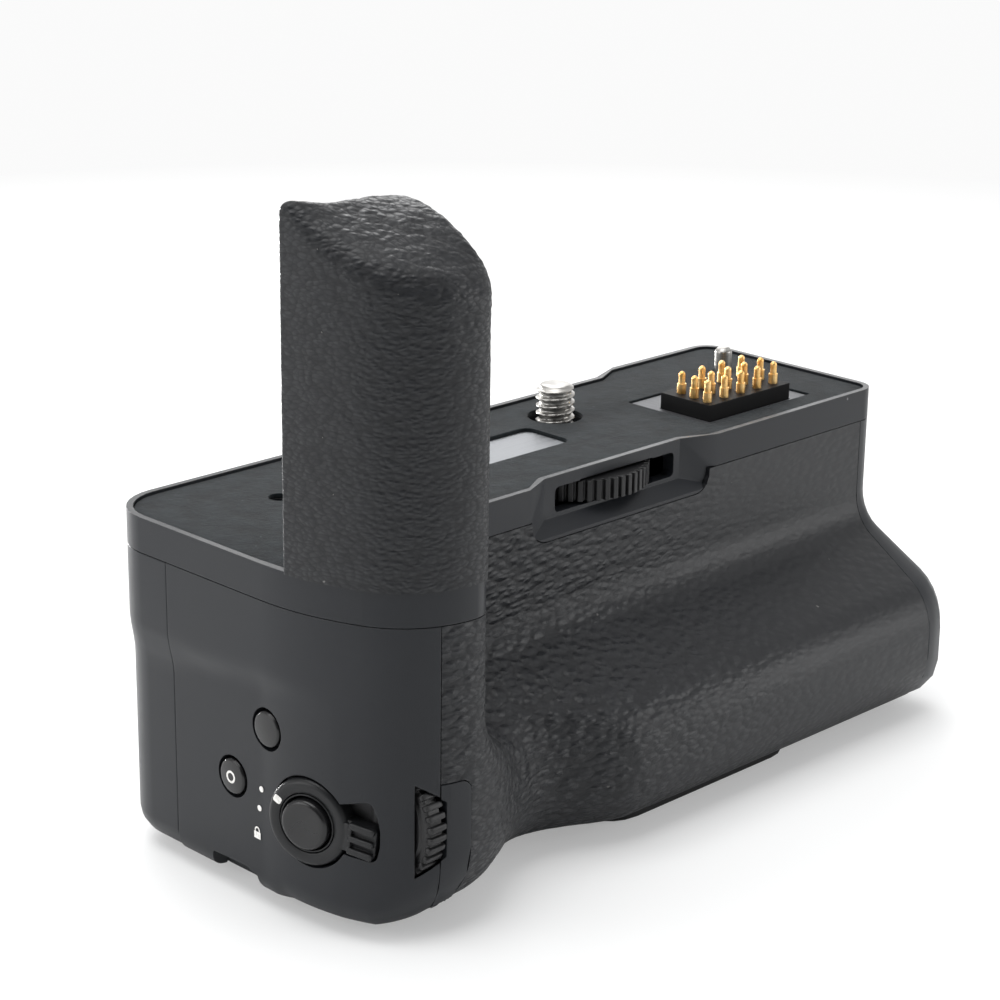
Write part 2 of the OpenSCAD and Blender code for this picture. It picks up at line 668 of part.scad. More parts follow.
post_skin_t = 1.1;
module post_core() {
  color([0.06, 0.06, 0.065]) place() post_shape(post_skin_t, post_round - 0.9, -post_back);
}

module post_skin() {
  color([0.035, 0.035, 0.037]) place() difference() {
    post_shape(-0.25, post_round, -post_back);
    translate([0, 0, -0.05]) post_shape(post_skin_t - 0.15, post_round - 0.9, 1 - post_back);
    block([3, -nose_out + 3, post_z0 - 1], [side_x - 3, -post_back + 1, post_z0 + 1]);
  }
}

// plan of one drive gear
function gear_plan(n) = let (p = n / 2, t = 360 / n) [for (i = [0:n - 1])
  for (s = [[p - 1.25, -0.29], [p, -0.2], [p + 0.85, -0.1], [p + 0.85, 0.1], [p, 0.2], [p - 1.25, 0.29]])
  [s[0] * cos(t * (i + s[1])), s[0] * sin(t * (i + s[1]))]];
mesh_a = atan2(screw_y - wheel_y, screw_x - wheel_x);
gear_t = 3;
spindle_r = 2;
knurls = 52;

module thumbwheel() {
  color([0.04, 0.04, 0.042]) place() translate([wheel_x, wheel_y, 0]) difference() {
    union() {
      push_z(wheel_z, wheel_z + wheel_t)
        polygon([for (i = [0:knurls - 1]) for (s = [0, 0.55, 0.64, 0.91])
          let (r = s < 0.6 ? wheel_r : wheel_r - 0.7, a = 360 * (i + s) / knurls)
          [r * cos(a), r * sin(a)]]);
      translate([0, 0, gear_z - 1.2]) cylinder(h = wheel_z + 0.1 - gear_z + 1.2, r = 4);
      rotate([0, 0, mesh_a]) push_z(gear_z, gear_z + gear_t) polygon(gear_plan(gear_teeth));
    }
    translate([0, 0, gear_z - 3]) cylinder(h = 20, r = spindle_r + run_gap);
  }
}

module wheel_spindle() {
  color([0.6, 0.6, 0.6]) place() translate([wheel_x, wheel_y, gear_z - 4]) {
    cylinder(h = wheel_z + wheel_t - gear_z + 3.9, r = spindle_r);
  }
}

journal_r = 2.45;
module camera_screw() {
  color([0.7, 0.69, 0.67]) place() translate([screw_x, screw_y, 0]) {
    translate([0, 0, gear_z - 4]) cylinder(h = 3, r = journal_r);
    translate([0, 0, gear_z - 1.2]) cylinder(h = rim_z + screw_out - 0.7 - gear_z + 1.2, r = screw_r);
    translate([0, 0, rim_z + screw_out - 0.7]) cylinder(h = 0.7, r1 = screw_r, r2 = screw_r - 0.7);
    translate([0, 0, sub_z - 2]) cylinder(h = deck_z - 0.2 - sub_z + 2, r = 4.15);
  }
}

module screw_gear() {
  color([0.7, 0.55, 0.25]) place() translate([screw_x, screw_y, 0]) difference() {
    rotate([0, 0, mesh_a + 180 + 180 / gear_teeth])
      push_z(gear_z, gear_z + gear_t) polygon(gear_plan(gear_teeth));
    translate([0, 0, gear_z - 1]) cylinder(h = 6, r = screw_r);
  }
}

module drive_bracket() {
  color([0.45, 0.46, 0.47]) place() difference() {
    push_z(gear_z - 4, bracket_z) polygon(round_rect(52, 5, screw_x + 14, body_d - 2.6, 2.5));
    translate([screw_x, screw_y, 0]) cylinder(h = rim_z, r = journal_r + run_gap);
    translate([wheel_x, wheel_y, 0]) cylinder(h = rim_z, r = spindle_r);
    for (p = boss_at) translate([p[0], p[1], 0]) cylinder(h = rim_z, r = 1);
  }
}

collar_r = shutter_r + key_gap + 0.3;
module control_block() {
  d = wall + end_step + 0.3;
  color([0.1, 0.1, 0.11]) place() difference() {
    push_z(bot_z + 4, seam_z - 1) polygon(concat([[d, 20]],
      arc(sweep_cx, sweep_cy, sweep_r - d, 180, 180 + sweep_a, 6),
      arc(nose_cx, nose_cy, nose_r - wall - 0.3, 184 + sweep_a, seam_a - 4, 6), [[13.2, -18], [13.2, 20]]));
    at_shutter() translate([0, 0, -2.6]) cylinder(h = 8, r = ring_r + 0.6);
    at_shutter() lever_room(-2.6);
    at_shutter() translate([0, 0, -4.2]) cylinder(h = 8, r = collar_r);
    at_shutter() translate([0, 0, -7.2]) cylinder(h = 8, r = stem_r + run_gap);
    for (k = [[fn_y, fn_z], [quick_y, quick_z]])
      at_end(k[0], k[1]) translate([0, 0, -7.4]) cylinder(h = 9, r = 1 + run_gap);
    translate([0, dial_y, dial_z])
      rod_x(dial_x - dial_t / 2 - 0.4, dial_x + dial_t / 2 + 0.4, front_dial_r + 0.6);
    translate([0, dial_y, dial_z]) rod_x(7, 14, axle_r);
    for (p = floor_screws) translate([p[0], p[1], 0]) cylinder(h = 9, r = 1);
    block([-1, -nose_out - 1, 0], [15, -11, bot_z + nose_round - 1]);
  }
}
stem_r = 1.5;
axle_r = 1;

module shutter_button() {
  color([0.05, 0.05, 0.055]) place() at_shutter() {
    translate([0, 0, -5.5]) cylinder(h = 4.5, r = stem_r);
    translate([0, 0, -1.6]) cylinder(h = 2.3, r = shutter_r);
    translate([0, 0, 0.7]) cylinder(h = 0.5, r1 = shutter_r, r2 = shutter_r - 0.6);
  }
}

module shutter_collar() {
  color([0.08, 0.08, 0.085]) place() at_shutter() translate([0, 0, -4.2]) difference() {
    cylinder(h = 4.4, r = collar_r);
    translate([0, 0, -1]) cylinder(h = 7, r = shutter_r + key_gap);
  }
}

module lock_ring() {
  color([0.07, 0.07, 0.075]) place() at_shutter() difference() {
    union() {
      translate([0, 0, -2.3]) cylinder(h = 2.5, r = ring_r);
      rotate([0, 0, lever_a]) translate([5, -lever_w / 2, -2.3]) cube([lever_reach - 5, lever_w, 2.2]);
      rotate([0, 0, lever_a]) translate([7, lever_w / 2 - 1, -0.5]) cube([lever_reach - 7, 1, 1]);
      rotate([0, 0, lever_a]) translate([7, -lever_w / 2, -0.5]) cube([lever_reach - 7, 0.9, 0.9]);
    }
    translate([0, 0, -4]) cylinder(h = 9, r = collar_r + run_gap);
  }
}

module end_key() {
  translate([0, 0, -6]) cylinder(h = 5, r = 1);
  translate([0, 0, -1.2]) cylinder(h = 1.2, r = end_key_r);
  cylinder(h = 0.4, r1 = end_key_r, r2 = end_key_r - 0.4);
}

module fn_button() {
  color([0.05, 0.05, 0.055]) place() at_end(fn_y, fn_z) end_key();
}

module quick_button() {
  color([0.05, 0.05, 0.055]) place() at_end(quick_y, quick_z) end_key();
}

// ribbed dial along x
module dial(r, n) {
  rotate([90, 0, 90]) translate([0, 0, -dial_t / 2]) difference() {
    linear_extrude(height = dial_t) polygon([for (i = [0:n - 1]) for (s = [0, 0.3, 0.5, 0.8])
      let (q = s < 0.4 ? r : r - 0.6, a = 360 * (i + s) / n) [q * cos(a), q * sin(a)]]);
    translate([0, 0, -1]) cylinder(h = 9, r = axle_r + run_gap);
  }
}

module front_dial() {
  color([0.04, 0.04, 0.042]) place() translate([dial_x, dial_y, dial_z]) dial(front_dial_r, 28);
}

module front_axle() {
  color([0.6, 0.6, 0.6]) place() translate([0, dial_y, dial_z]) rod_x(7.2, 13.1, axle_r);
}

mount_y0 = body_d - 11.5;
mount_y1 = body_d - wall - 0.2;
module rear_mount() {
  color([0.1, 0.1, 0.11]) place() difference() {
    block([9.5, mount_y0, 29], [44, mount_y1, seam_z - 1]);
    translate([0, rear_y, rear_z])
      rod_x(rear_x - dial_t / 2 - 0.4, rear_x + dial_t / 2 + 0.4, rear_dial_r + 0.5);
    translate([0, rear_y, rear_z]) rod_x(9, 21, axle_r);
    for (z = [key_hi, key_lo])
      at_back(key_x, z) translate([0, 0, -7.4]) cylinder(h = 9, r = 1 + run_gap);
    at_back(stick_x, rear_z) translate([0, 0, -8]) cylinder(h = 10, r = 5.2);
    translate([0, gimbal_y, rear_z]) rod_x(stick_x - 6.5, stick_x + 6.5, pivot_r + run_gap);
  }
}
gimbal_y = body_d - 5;
pivot_r = 0.7;

module rear_dial() {
  color([0.04, 0.04, 0.042]) place() translate([rear_x, rear_y, rear_z]) dial(rear_dial_r, 26);
}

module rear_axle() {
  color([0.6, 0.6, 0.6]) place() translate([0, rear_y, rear_z]) rod_x(9.6, 20.8, axle_r);
}

module back_key() {
  translate([0, 0, -6]) cylinder(h = 5, r = 1);
  translate([0, 0, -1]) cylinder(h = 1, r = back_key_r);
  cylinder(h = 0.5, r1 = back_key_r, r2 = back_key_r - 0.5);
}

module exposure_button() {
  color([0.05, 0.05, 0.055]) place() at_back(key_x, key_hi) back_key();
}

module focus_button() {
  color([0.05, 0.05, 0.055]) place() at_back(key_x, key_lo) back_key();
}

module stick_gimbal() {
  color([0.5, 0.5, 0.5]) place() translate([stick_x, gimbal_y, rear_z]) {
    difference() {
      union() {
        rotate([-90, 0, 0]) translate([0, 0, -1]) cylinder(h = 2, r = 4.6);
        rod_x(-6, 6, pivot_r);
      }
      rotate([-90, 0, 0]) translate([0, 0, -3]) cylinder(h = 6, r = 3.3);
      translate([0, 0, -6]) cylinder(h = 12, r = pivot_r + run_gap);
    }
  }
}

module focus_stick() {
  color([0.04, 0.04, 0.042]) place() translate([stick_x, gimbal_y, rear_z]) {
    translate([0, 0, -4.4]) cylinder(h = 8.8, r = pivot_r);
    rotate([-90, 0, 0]) translate([0, 0, -1]) cylinder(h = 2, r = 2.2);
    rotate([-90, 0, 0]) cylinder(h = 6, r = 1.2);
    rotate([-90, 0, 0]) translate([0, 0, 5.7]) cylinder(h = 1.2, r = 3);
    rotate([-90, 0, 0]) translate([0, 0, 6.9]) cylinder(h = 0.5, r1 = 3, r2 = 2.4);
  }
}

bay_x0 = tray_x0 - 3.4;
bay_x1 = body_l - 2.6;
board_z = bay_top + bay_t + 2.6;
board_x0 = 46;
board_x1 = block_x + block_l - 1.2;
board_y0 = 4;
board_y1 = body_d - 4.1;
board_posts = [for (x = [board_x0 + 4, board_x1 - 4]) for (y = [board_y0 + 4, board_y1 - 3.4]) [x, y]];
module battery_bay() {
  color([0.2, 0.2, 0.21]) place() difference() {
    union() {
      block([bay_x0, bay_y0, bay_z], [bay_x1, bay_y1, bay_top + bay_t]);
      for (p = board_posts) translate([p[0], p[1], bay_top]) cylinder(h = board_z - bay_top, r = 2);
    }
    block([bay_x0 + 1, bay_y0 + bay_t, bay_z + bay_t], [body_l, bay_y1 - bay_t, bay_top]);
  }
}

module battery_tray() {
  color([0.09, 0.09, 0.1]) place() difference() {
    union() {
      block([tray_x0, tray_y0, tray_z], [body_l - 1.5, tray_y1, tray_top]);
      push_x(body_l - 2.4, body_l) polygon(round_rect(door_y0, door_z0, door_y1, door_z1, 2.5));
    }
    block([tray_x0 + 1, tray_y0 + 1, cell_z], [body_l - 2.4, tray_y1 - 1, rim_z]);
    block([tray_x0 - 1, tray_y0 + 6, cell_z], [tray_x0 + 2, tray_y1 - 6, rim_z]);
    block([body_l - latch_t - key_gap, latch_y - key_gap, latch_z - 3 - key_gap],
      [body_l + 1, latch_y + 6 + latch_run + key_gap, latch_z + 3 + key_gap]);
  }
}
latch_t = 1.3;
latch_y = 10;
latch_z = 15;
latch_run = 4;

module battery_inner() {
  color([0.16, 0.16, 0.17]) place()
    block([tray_x0 + 1.1, cell_y, cell_z], [tray_x0 + 1.1 + cell_l, cell_y + cell_w, cell_z + cell_h]);
}

module battery_outer() {
  color([0.16, 0.16, 0.17]) place()
    block([tray_x0 + 1.3 + cell_l, cell_y, cell_z],
      [tray_x0 + 1.3 + 2 * cell_l, cell_y + cell_w, cell_z + cell_h]);
}

module tray_latch() {
  color([0.05, 0.05, 0.055]) place() difference() {
    block([body_l - latch_t, latch_y, latch_z - 3], [body_l + 0.5, latch_y + 6, latch_z + 3]);
    for (y = [1.6, 3, 4.4])
      translate([body_l + 0.5, latch_y + y, latch_z - 4]) cylinder(h = 8, r = 0.35, $fn = 16);
  }
}

module battery_contacts() {
  color([0.75, 0.6, 0.3]) place() {
    block([bay_x0 + 1, cell_y + 8, cell_z + 2], [bay_x0 + 2.4, cell_y + 28, cell_z + 10]);
    for (y = [11, 15, 19, 23])
      block([bay_x0 + 2.3, cell_y + y, cell_z + 4], [bay_x0 + 3.1, cell_y + y + 1.5, cell_z + 8]);
  }
}

module main_board() {
  color([0.05, 0.2, 0.12]) place() {
    block([board_x0, board_y0, board_z], [board_x1, board_y1, board_z + 1.6]);
    block([52, 12, board_z + 1.5], [62, 22, board_z + 2.6]);
    block([70, 14, board_z + 1.5], [76, 20, board_z + 2.5]);
    block([board_x1 - 20, 8, board_z + 1.5], [board_x1 - 8, 13, board_z + 4.6]);
    block([84, board_y1 - 10.4, board_z + 1.5], [88, board_y1 - 4.4, board_z + 3]);
  }
}

module case_screws() {
  color([0.55, 0.55, 0.56]) place() {
    for (p = boss_at) translate([p[0], p[1], gear_z - 5]) {
      cylinder(h = 1, r = 1.9);
      cylinder(h = 7, r = 1);
    }
    for (p = floor_screws) translate([p[0], p[1], bot_z]) {
      cylinder(h = 1, r = 1.9);
      cylinder(h = 6.8, r = 1);
    }
  }
}

top_frame();
deck_pad();
label_plate();
connector_plate();
contact_block();
contact_pins();
guide_pin();
front_case();
front_skin();
end_cover();
right_end();
rear_case();
bottom_cover();
foot_plate();
tripod_bush();
post_core();
post_skin();
thumbwheel();
wheel_spindle();
camera_screw();
screw_gear();
drive_bracket();
control_block();
shutter_button();
shutter_collar();
lock_ring();
fn_button();
quick_button();
front_dial();
front_axle();
dial_bezel();
rear_mount();
rear_dial();
rear_axle();
exposure_button();
focus_button();
stick_gimbal();
focus_stick();
battery_bay();
battery_tray();
battery_inner();
battery_outer();
tray_latch();
battery_contacts();
main_board();
case_screws();
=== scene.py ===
import bmesh
import bpy
import json
import math
from mathutils import Matrix, Vector, noise
from mathutils.bvhtree import BVHTree


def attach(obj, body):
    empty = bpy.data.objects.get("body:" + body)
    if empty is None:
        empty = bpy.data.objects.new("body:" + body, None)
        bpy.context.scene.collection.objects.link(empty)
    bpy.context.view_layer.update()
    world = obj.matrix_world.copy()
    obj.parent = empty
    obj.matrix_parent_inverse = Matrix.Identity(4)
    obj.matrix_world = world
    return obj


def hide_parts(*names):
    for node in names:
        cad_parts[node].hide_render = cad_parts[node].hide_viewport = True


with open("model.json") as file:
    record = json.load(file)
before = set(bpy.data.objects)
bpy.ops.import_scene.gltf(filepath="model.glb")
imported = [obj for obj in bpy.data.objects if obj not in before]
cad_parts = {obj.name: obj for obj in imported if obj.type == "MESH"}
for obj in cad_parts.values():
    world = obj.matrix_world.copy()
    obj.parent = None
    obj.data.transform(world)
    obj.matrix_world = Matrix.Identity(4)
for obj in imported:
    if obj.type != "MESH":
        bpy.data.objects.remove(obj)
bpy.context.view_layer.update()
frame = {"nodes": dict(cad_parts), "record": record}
print("frame loaded,", len(frame["nodes"]), "nodes")

# sizes are millimetres from the left end, the front wall and the table
body = {"originX": 78, "originY": 14, "length": 134.6, "depth": 38.5, "rim": 53, "band": 5.3, "foot": 1.5,
        "bulge": 20, "noseOut": 22.7, "noseRound": 13, "seam": 0.12, "endStep": 1, "noseR": 14.5, "noseX": 16.8,
        "sweepR": 41, "sweepA": 24, "sideX": 20.8, "seamX": 11.3, "endRound": 8}
noseY = body["noseR"] - body["noseOut"]
sweepY = noseY + (body["sweepR"] - body["noseR"]) * math.sin(math.radians(body["sweepA"]))
seamA = 360 - math.degrees(math.acos((body["seamX"] - body["noseX"]) / body["noseR"]))


def toFrame(p):
    return Vector(((p[0] - body["originX"]) / 1000, (p[1] - body["originY"]) / 1000, p[2] / 1000))


def turn(angle, axis):
    return Matrix.Rotation(math.radians(angle), 4, axis)


# frames whose z axis looks outwards, still in millimetres
shutterFrame = Matrix.Translation((0.85, -5.7, 16.7)) @ turn(17, "Z") @ turn(-90, "Y")


def endFrame(y, z):
    return Matrix.Translation((body["endStep"], y, z)) @ turn(-90, "Y")


def backFrame(x, z):
    return Matrix.Translation((x, body["depth"], z)) @ turn(-90, "X")


# shader helpers
def setInputs(tree, node, inputs):
    for key, value in inputs.items():
        if isinstance(value, bpy.types.NodeSocket):
            tree.links.new(value, node.inputs[key])
        else:
            node.inputs[key].default_value = value


def addNode(tree, kind, inputs=None, **settings):
    node = tree.nodes.new(kind)
    for key, value in settings.items():
        setattr(node, key, value)
    setInputs(tree, node, inputs or {})
    return node


def math2(tree, operation, a, b=0.0, c=0.0):
    return addNode(tree, "ShaderNodeMath", {0: a, 1: b, 2: c}, operation=operation).outputs[0]


def times(tree, a, b):
    return math2(tree, "MULTIPLY", a, b)


def remap(tree, value, low, high, toLow, toHigh):
    return addNode(tree, "ShaderNodeMapRange", {0: value, 1: low, 2: high, 3: toLow, 4: toHigh}).outputs[0]


def vectorMath(tree, operation, a, b=(0, 0, 0), scale=1.0, result=0):
    return addNode(tree, "ShaderNodeVectorMath", {0: a, 1: b, 3: scale}, operation=operation).outputs[result]


def noiseAt(tree, place, scale, detail, roughness=0.5, result=0):
    inputs = {"Vector": place, "Scale": scale, "Detail": detail, "Roughness": roughness}
    return addNode(tree, "ShaderNodeTexNoise", inputs).outputs[result]


def newGroup(name, inputs, outputs):
    group = bpy.data.node_groups.new(name, "ShaderNodeTree")
    for label, kind, value in inputs:
        socket = group.interface.new_socket(label, in_out="INPUT", socket_type="NodeSocket" + kind)
        if value is not None:
            socket.default_value = value
    for label in outputs:
        group.interface.new_socket(label, in_out="OUTPUT", socket_type="NodeSocketFloat")
    return group, group.nodes.new("NodeGroupInput").outputs, group.nodes.new("NodeGroupOutput").inputs


def makePebbleGrain():
    g, i, o = newGroup("pebbleGrain", [("Vector", "Vector", None), ("Cells", "Float", 900), ("Wrinkle", "Float", 0.4)],
                       ["Height", "Crease"])
    wobble = vectorMath(g, "SUBTRACT", noiseAt(g, i["Vector"], 420, 2, result="Color"), (0.5, 0.5, 0.5))
    place = vectorMath(g, "ADD", i["Vector"], vectorMath(g, "SCALE", wobble, scale=0.0011))
    cell = addNode(g, "ShaderNodeTexVoronoi", {"Vector": place, "Scale": i["Cells"], "Smoothness": 0.5},
                   feature="SMOOTH_F1")
    edge = addNode(g, "ShaderNodeTexVoronoi", {"Vector": place, "Scale": i["Cells"]}, feature="DISTANCE_TO_EDGE")
    dome = remap(g, cell.outputs["Distance"], 0.05, 0.75, 1, 0)
    folds = times(g, noiseAt(g, place, 260, 3, 0.6), i["Wrinkle"])
    g.links.new(math2(g, "ADD", dome, folds), o["Height"])
    g.links.new(remap(g, edge.outputs["Distance"], 0, 0.16, 1, 0), o["Crease"])
    return g


def makeMouldGrain():
    g, i, o = newGroup("mouldGrain", [("Vector", "Vector", None), ("Fineness", "Float", 5200)], ["Height", "Cloud"])
    g.links.new(noiseAt(g, i["Vector"], i["Fineness"], 2), o["Height"])
    g.links.new(noiseAt(g, i["Vector"], 55, 4, 0.6), o["Cloud"])
    return g


def makeDust():
    g, i, o = newGroup("dustSpecks", [("Vector", "Vector", None), ("Spread", "Float", 330), ("Share", "Float", 0.12)],
                       ["Mask"])
    bent = vectorMath(g, "SCALE", noiseAt(g, i["Vector"], 1500, 2, result="Color"), scale=0.0006)
    place = vectorMath(g, "ADD", i["Vector"], bent)
    spot = addNode(g, "ShaderNodeTexVoronoi", {"Vector": place, "Scale": i["Spread"]}, feature="F1")
    split = addNode(g, "ShaderNodeSeparateColor", {0: spot.outputs["Color"]})
    pick = math2(g, "LESS_THAN", split.outputs[0], i["Share"])
    size = remap(g, split.outputs[1], 0, 1, 0.03, 0.11)
    near = math2(g, "LESS_THAN", spot.outputs["Distance"], size)
    g.links.new(times(g, pick, near), o["Mask"])
    return g


# lighter edges from a bevel mask broken up by noise: partly edge wear, partly a painted edge highlight
def makeEdgeWearAndHighlight():
    g, i, o = newGroup("edgeWearAndHighlight", [("Vector", "Vector", None), ("Radius", "Float", 0.0004)], ["Mask"])
    soft = addNode(g, "ShaderNodeBevel", {"Radius": i["Radius"]}, samples=4).outputs[0]
    flat = addNode(g, "ShaderNodeNewGeometry").outputs["Normal"]
    wearAndHighlight = remap(g, vectorMath(g, "DOT_PRODUCT", soft, flat, result="Value"), 0.99, 0.8, 0, 1)
    patch = remap(g, noiseAt(g, i["Vector"], 420, 4, 0.7), 0.4, 0.65, 0, 1)
    g.links.new(times(g, wearAndHighlight, patch), o["Mask"])
    return g


groups = {"pebble": makePebbleGrain(), "mould": makeMouldGrain(), "dust": makeDust(), "wearAndHighlight": makeEdgeWearAndHighlight()}


def useGroup(tree, key, **inputs):
    node = addNode(tree, "ShaderNodeGroup", node_tree=groups[key])
    setInputs(tree, node, inputs)
    return node.outputs


def mixColour(tree, share, a, b):
    # a colour is a socket or three numbers
    a, b = ((*c, 1) if isinstance(c, tuple) else c for c in (a, b))
    return addNode(tree, "ShaderNodeMix", {0: share, 6: a, 7: b}, data_type="RGBA").outputs[2]


def laidOver(tree, mask, share, base, colour):
    return mixColour(tree, times(tree, mask["Mask"], share), base, colour)


def startMaterial(name, **sockets):
    material = bpy.data.materials.new(name)
    material.use_nodes = True
    tree = material.node_tree
    shader = tree.nodes["Principled BSDF"]
    setInputs(tree, shader, sockets)
    coords = addNode(tree, "ShaderNodeTexCoord").outputs["Object"]
    return material, tree, shader, coords


def setBump(tree, shader, height, depth, strength=1.0, edge=0.0):
    bump = addNode(tree, "ShaderNodeBump", {"Height": height, "Distance": depth, "Strength": strength})
    if edge:
        soft = addNode(tree, "ShaderNodeBevel", {"Radius": edge}, samples=4)
        tree.links.new(soft.outputs[0], bump.inputs["Normal"])
    tree.links.new(bump.outputs[0], shader.inputs["Normal"])


def plastic(dark, light, rough, grain, depth, wearAndHighlight, dust, shine):
    return {"dark": dark, "light": light, "rough": rough, "grain": grain, "depth": depth, "wearAndHighlight": wearAndHighlight, "dust": dust,
            "shine": shine}


plasticLooks = {
    "shellPlastic": plastic((0.0108, 0.0122, 0.015), (0.0142, 0.0157, 0.0189), (0.36, 0.46),
                            5200, 0.000012, 0.3, 0.045, 0.27),
    "ringPlastic": plastic((0.0075, 0.0079, 0.0088), (0.0105, 0.011, 0.0122), (0.32, 0.42),
                           5200, 0.00001, 0.55, 0.045, 0.3),
    "keyPlastic": plastic((0.006, 0.006, 0.0065), (0.010, 0.010, 0.011), (0.2, 0.3), 7000, 0.000004, 0.5, 0.04, 0.4),
    "blockPlastic": plastic((0.0035, 0.0035, 0.0038), (0.006, 0.006, 0.0064), (0.55, 0.68),
                            6000, 0.00001, 0.2, 0.05, 0.14),
    "dialPlastic": plastic((0.010, 0.010, 0.0108), (0.016, 0.016, 0.017), (0.36, 0.5), 6000, 0.00001, 0.9, 0.05, 0.3),
    "innerPlastic": plastic((0.05, 0.05, 0.053), (0.07, 0.07, 0.073), (0.5, 0.62), 3800, 0.00002, 0.3, 0.04, 0.4),
    "cellPlastic": plastic((0.055, 0.056, 0.06), (0.08, 0.081, 0.085), (0.45, 0.55), 3200, 0.000025, 0.5, 0.04, 0.4),
    "footRubber": plastic((0.012, 0.012, 0.0125), (0.022, 0.022, 0.023), (0.68, 0.82), 2600, 0.00004, 0.4, 0.1, 0.25),
    "boardMask": plastic((0.012, 0.075, 0.04), (0.02, 0.1, 0.055), (0.3, 0.42), 2400, 0.00002, 0.2, 0.04, 0.5)}


def makePlastic(name):
    look = plasticLooks[name]
    material, tree, shader, coords = startMaterial(name, **{"Specular IOR Level": look["shine"]})
    grain = useGroup(tree, "mould", Vector=coords, Fineness=look["grain"])
    wearAndHighlight = useGroup(tree, "wearAndHighlight", Vector=coords)
    dust = useGroup(tree, "dust", Vector=coords, Share=look["dust"])
    base = mixColour(tree, remap(tree, grain["Cloud"], 0.35, 0.65, 0, 1), look["dark"], look["light"])
    # edges lightened towards grey: edge wear together with a painted edge highlight
    worn = laidOver(tree, wearAndHighlight, look["wearAndHighlight"] * 0.5, base, (0.12, 0.12, 0.12))
    dusty = laidOver(tree, dust, 0.5, worn, (0.3, 0.3, 0.3))
    rough = remap(tree, grain["Cloud"], 0.35, 0.65, *look["rough"])
    setInputs(tree, shader, {"Base Color": dusty, "Roughness": rough})
    setBump(tree, shader, grain["Height"], look["depth"], edge=0.00018)
    return material


leatherLook = {"dark": (0.0086, 0.0092, 0.0109), "light": (0.0132, 0.0142, 0.0165), "rough": (0.4, 0.62), "dust": 0.06,
               "fade": (-0.035, 0.02, 1.0, 0.16)}
leatherGrain = {
    "frontLeather": {"cells": 860, "wrinkle": 0.9, "depth": 0.00036, "stretch": (0.6, 0.6, 1.25)},
    "postLeather": {"cells": 1250, "wrinkle": 0.9, "depth": 0.00011, "stretch": (0.7, 0.7, 1.35)}}


def makeLeather(name):
    look, grainSize = leatherLook, leatherGrain[name]
    material, tree, shader, coords = startMaterial(name, **{"Specular IOR Level": 0.34})
    drawn = vectorMath(tree, "MULTIPLY", coords, grainSize["stretch"])
    grain = useGroup(tree, "pebble", Vector=drawn, Cells=grainSize["cells"], Wrinkle=grainSize["wrinkle"])
    fine = useGroup(tree, "mould", Vector=coords, Fineness=4200)
    dust = useGroup(tree, "dust", Vector=coords, Share=look["dust"], Spread=420)
    # grain, tone and gloss grow even towards the right end
    fade = remap(tree, addNode(tree, "ShaderNodeSeparateXYZ", {0: coords}).outputs[0], *look["fade"])
    height = times(tree, math2(tree, "MULTIPLY_ADD", fine["Height"], 0.12, grain["Height"]), fade)
    tone = math2(tree, "MULTIPLY_ADD", remap(tree, grain["Height"], 0.5, 1.1, -0.5, 0.5), fade, 0.5)
    base = mixColour(tree, tone, look["dark"], look["light"])
    dusty = laidOver(tree, dust, 0.35, base, (0.3, 0.29, 0.28))
    rough = remap(tree, times(tree, grain["Crease"], fade), 0, 1, *look["rough"])
    setInputs(tree, shader, {"Base Color": dusty, "Roughness": rough})
    setBump(tree, shader, height, grainSize["depth"])
    return material


suedeLook = {"dark": (0.0028, 0.0044, 0.0056), "light": (0.0138, 0.0188, 0.022), "dust": 0.22}


def makeSuede(name):
    look = suedeLook
    material, tree, shader, coords = startMaterial(name, **{"Roughness": 0.95, "Sheen Weight": 0.12,
                                                           "Sheen Roughness": 0.5, "Specular IOR Level": 0.15})
    nap, patch = noiseAt(tree, coords, 3600, 3, 0.7), noiseAt(tree, coords, 210, 4, 0.65)
    dust = useGroup(tree, "dust", Vector=coords, Share=look["dust"], Spread=700)
    both = math2(tree, "MULTIPLY_ADD", patch, 0.7, times(tree, nap, 0.3))
    base = mixColour(tree, remap(tree, both, 0.36, 0.64, 0, 1), look["dark"], look["light"])
    dusty = laidOver(tree, dust, 0.22, base, (0.25, 0.27, 0.28))
    setInputs(tree, shader, {"Base Color": dusty})
    setBump(tree, shader, both, 0.0003, 0.9)
    return material


metalLooks = {
    "turnedSteel": {"dark": (0.30, 0.29, 0.275), "light": (0.46, 0.45, 0.43), "rough": (0.32, 0.46),
                    "turn": (60, 60, 4200)},
    "goldPlate": {"dark": (0.80, 0.47, 0.15), "light": (0.95, 0.66, 0.30), "rough": (0.34, 0.48),
                  "turn": (300, 300, 900)},
    "satinPlate": {"dark": (0.15, 0.156, 0.166), "light": (0.21, 0.217, 0.227), "rough": (0.42, 0.56),
                   "turn": (60, 5200, 60)},
    "greyPlate": {"dark": (0.09, 0.092, 0.097), "light": (0.14, 0.143, 0.15), "rough": (0.5, 0.64),
                  "turn": (5200, 60, 60)}}


def makeMetal(name):
    look = metalLooks[name]
    material, tree, shader, coords = startMaterial(name, Metallic=1.0)
    lines = addNode(tree, "ShaderNodeMapping", {"Vector": coords, "Scale": look["turn"]})
    brushed = noiseAt(tree, lines.outputs[0], 1, 3)
    wearAndHighlight = useGroup(tree, "wearAndHighlight", Vector=coords)
    tone = mixColour(tree, remap(tree, brushed, 0.35, 0.65, 0, 1), look["dark"], look["light"])
    # edges lightened towards the light tone: edge wear together with a painted edge highlight
    bright = laidOver(tree, wearAndHighlight, 0.4, tone, look["light"])
    setInputs(tree, shader, {"Base Color": bright, "Roughness": remap(tree, brushed, 0.3, 0.7, *look["rough"])})
    setBump(tree, shader, brushed, 0.00001)
    return material


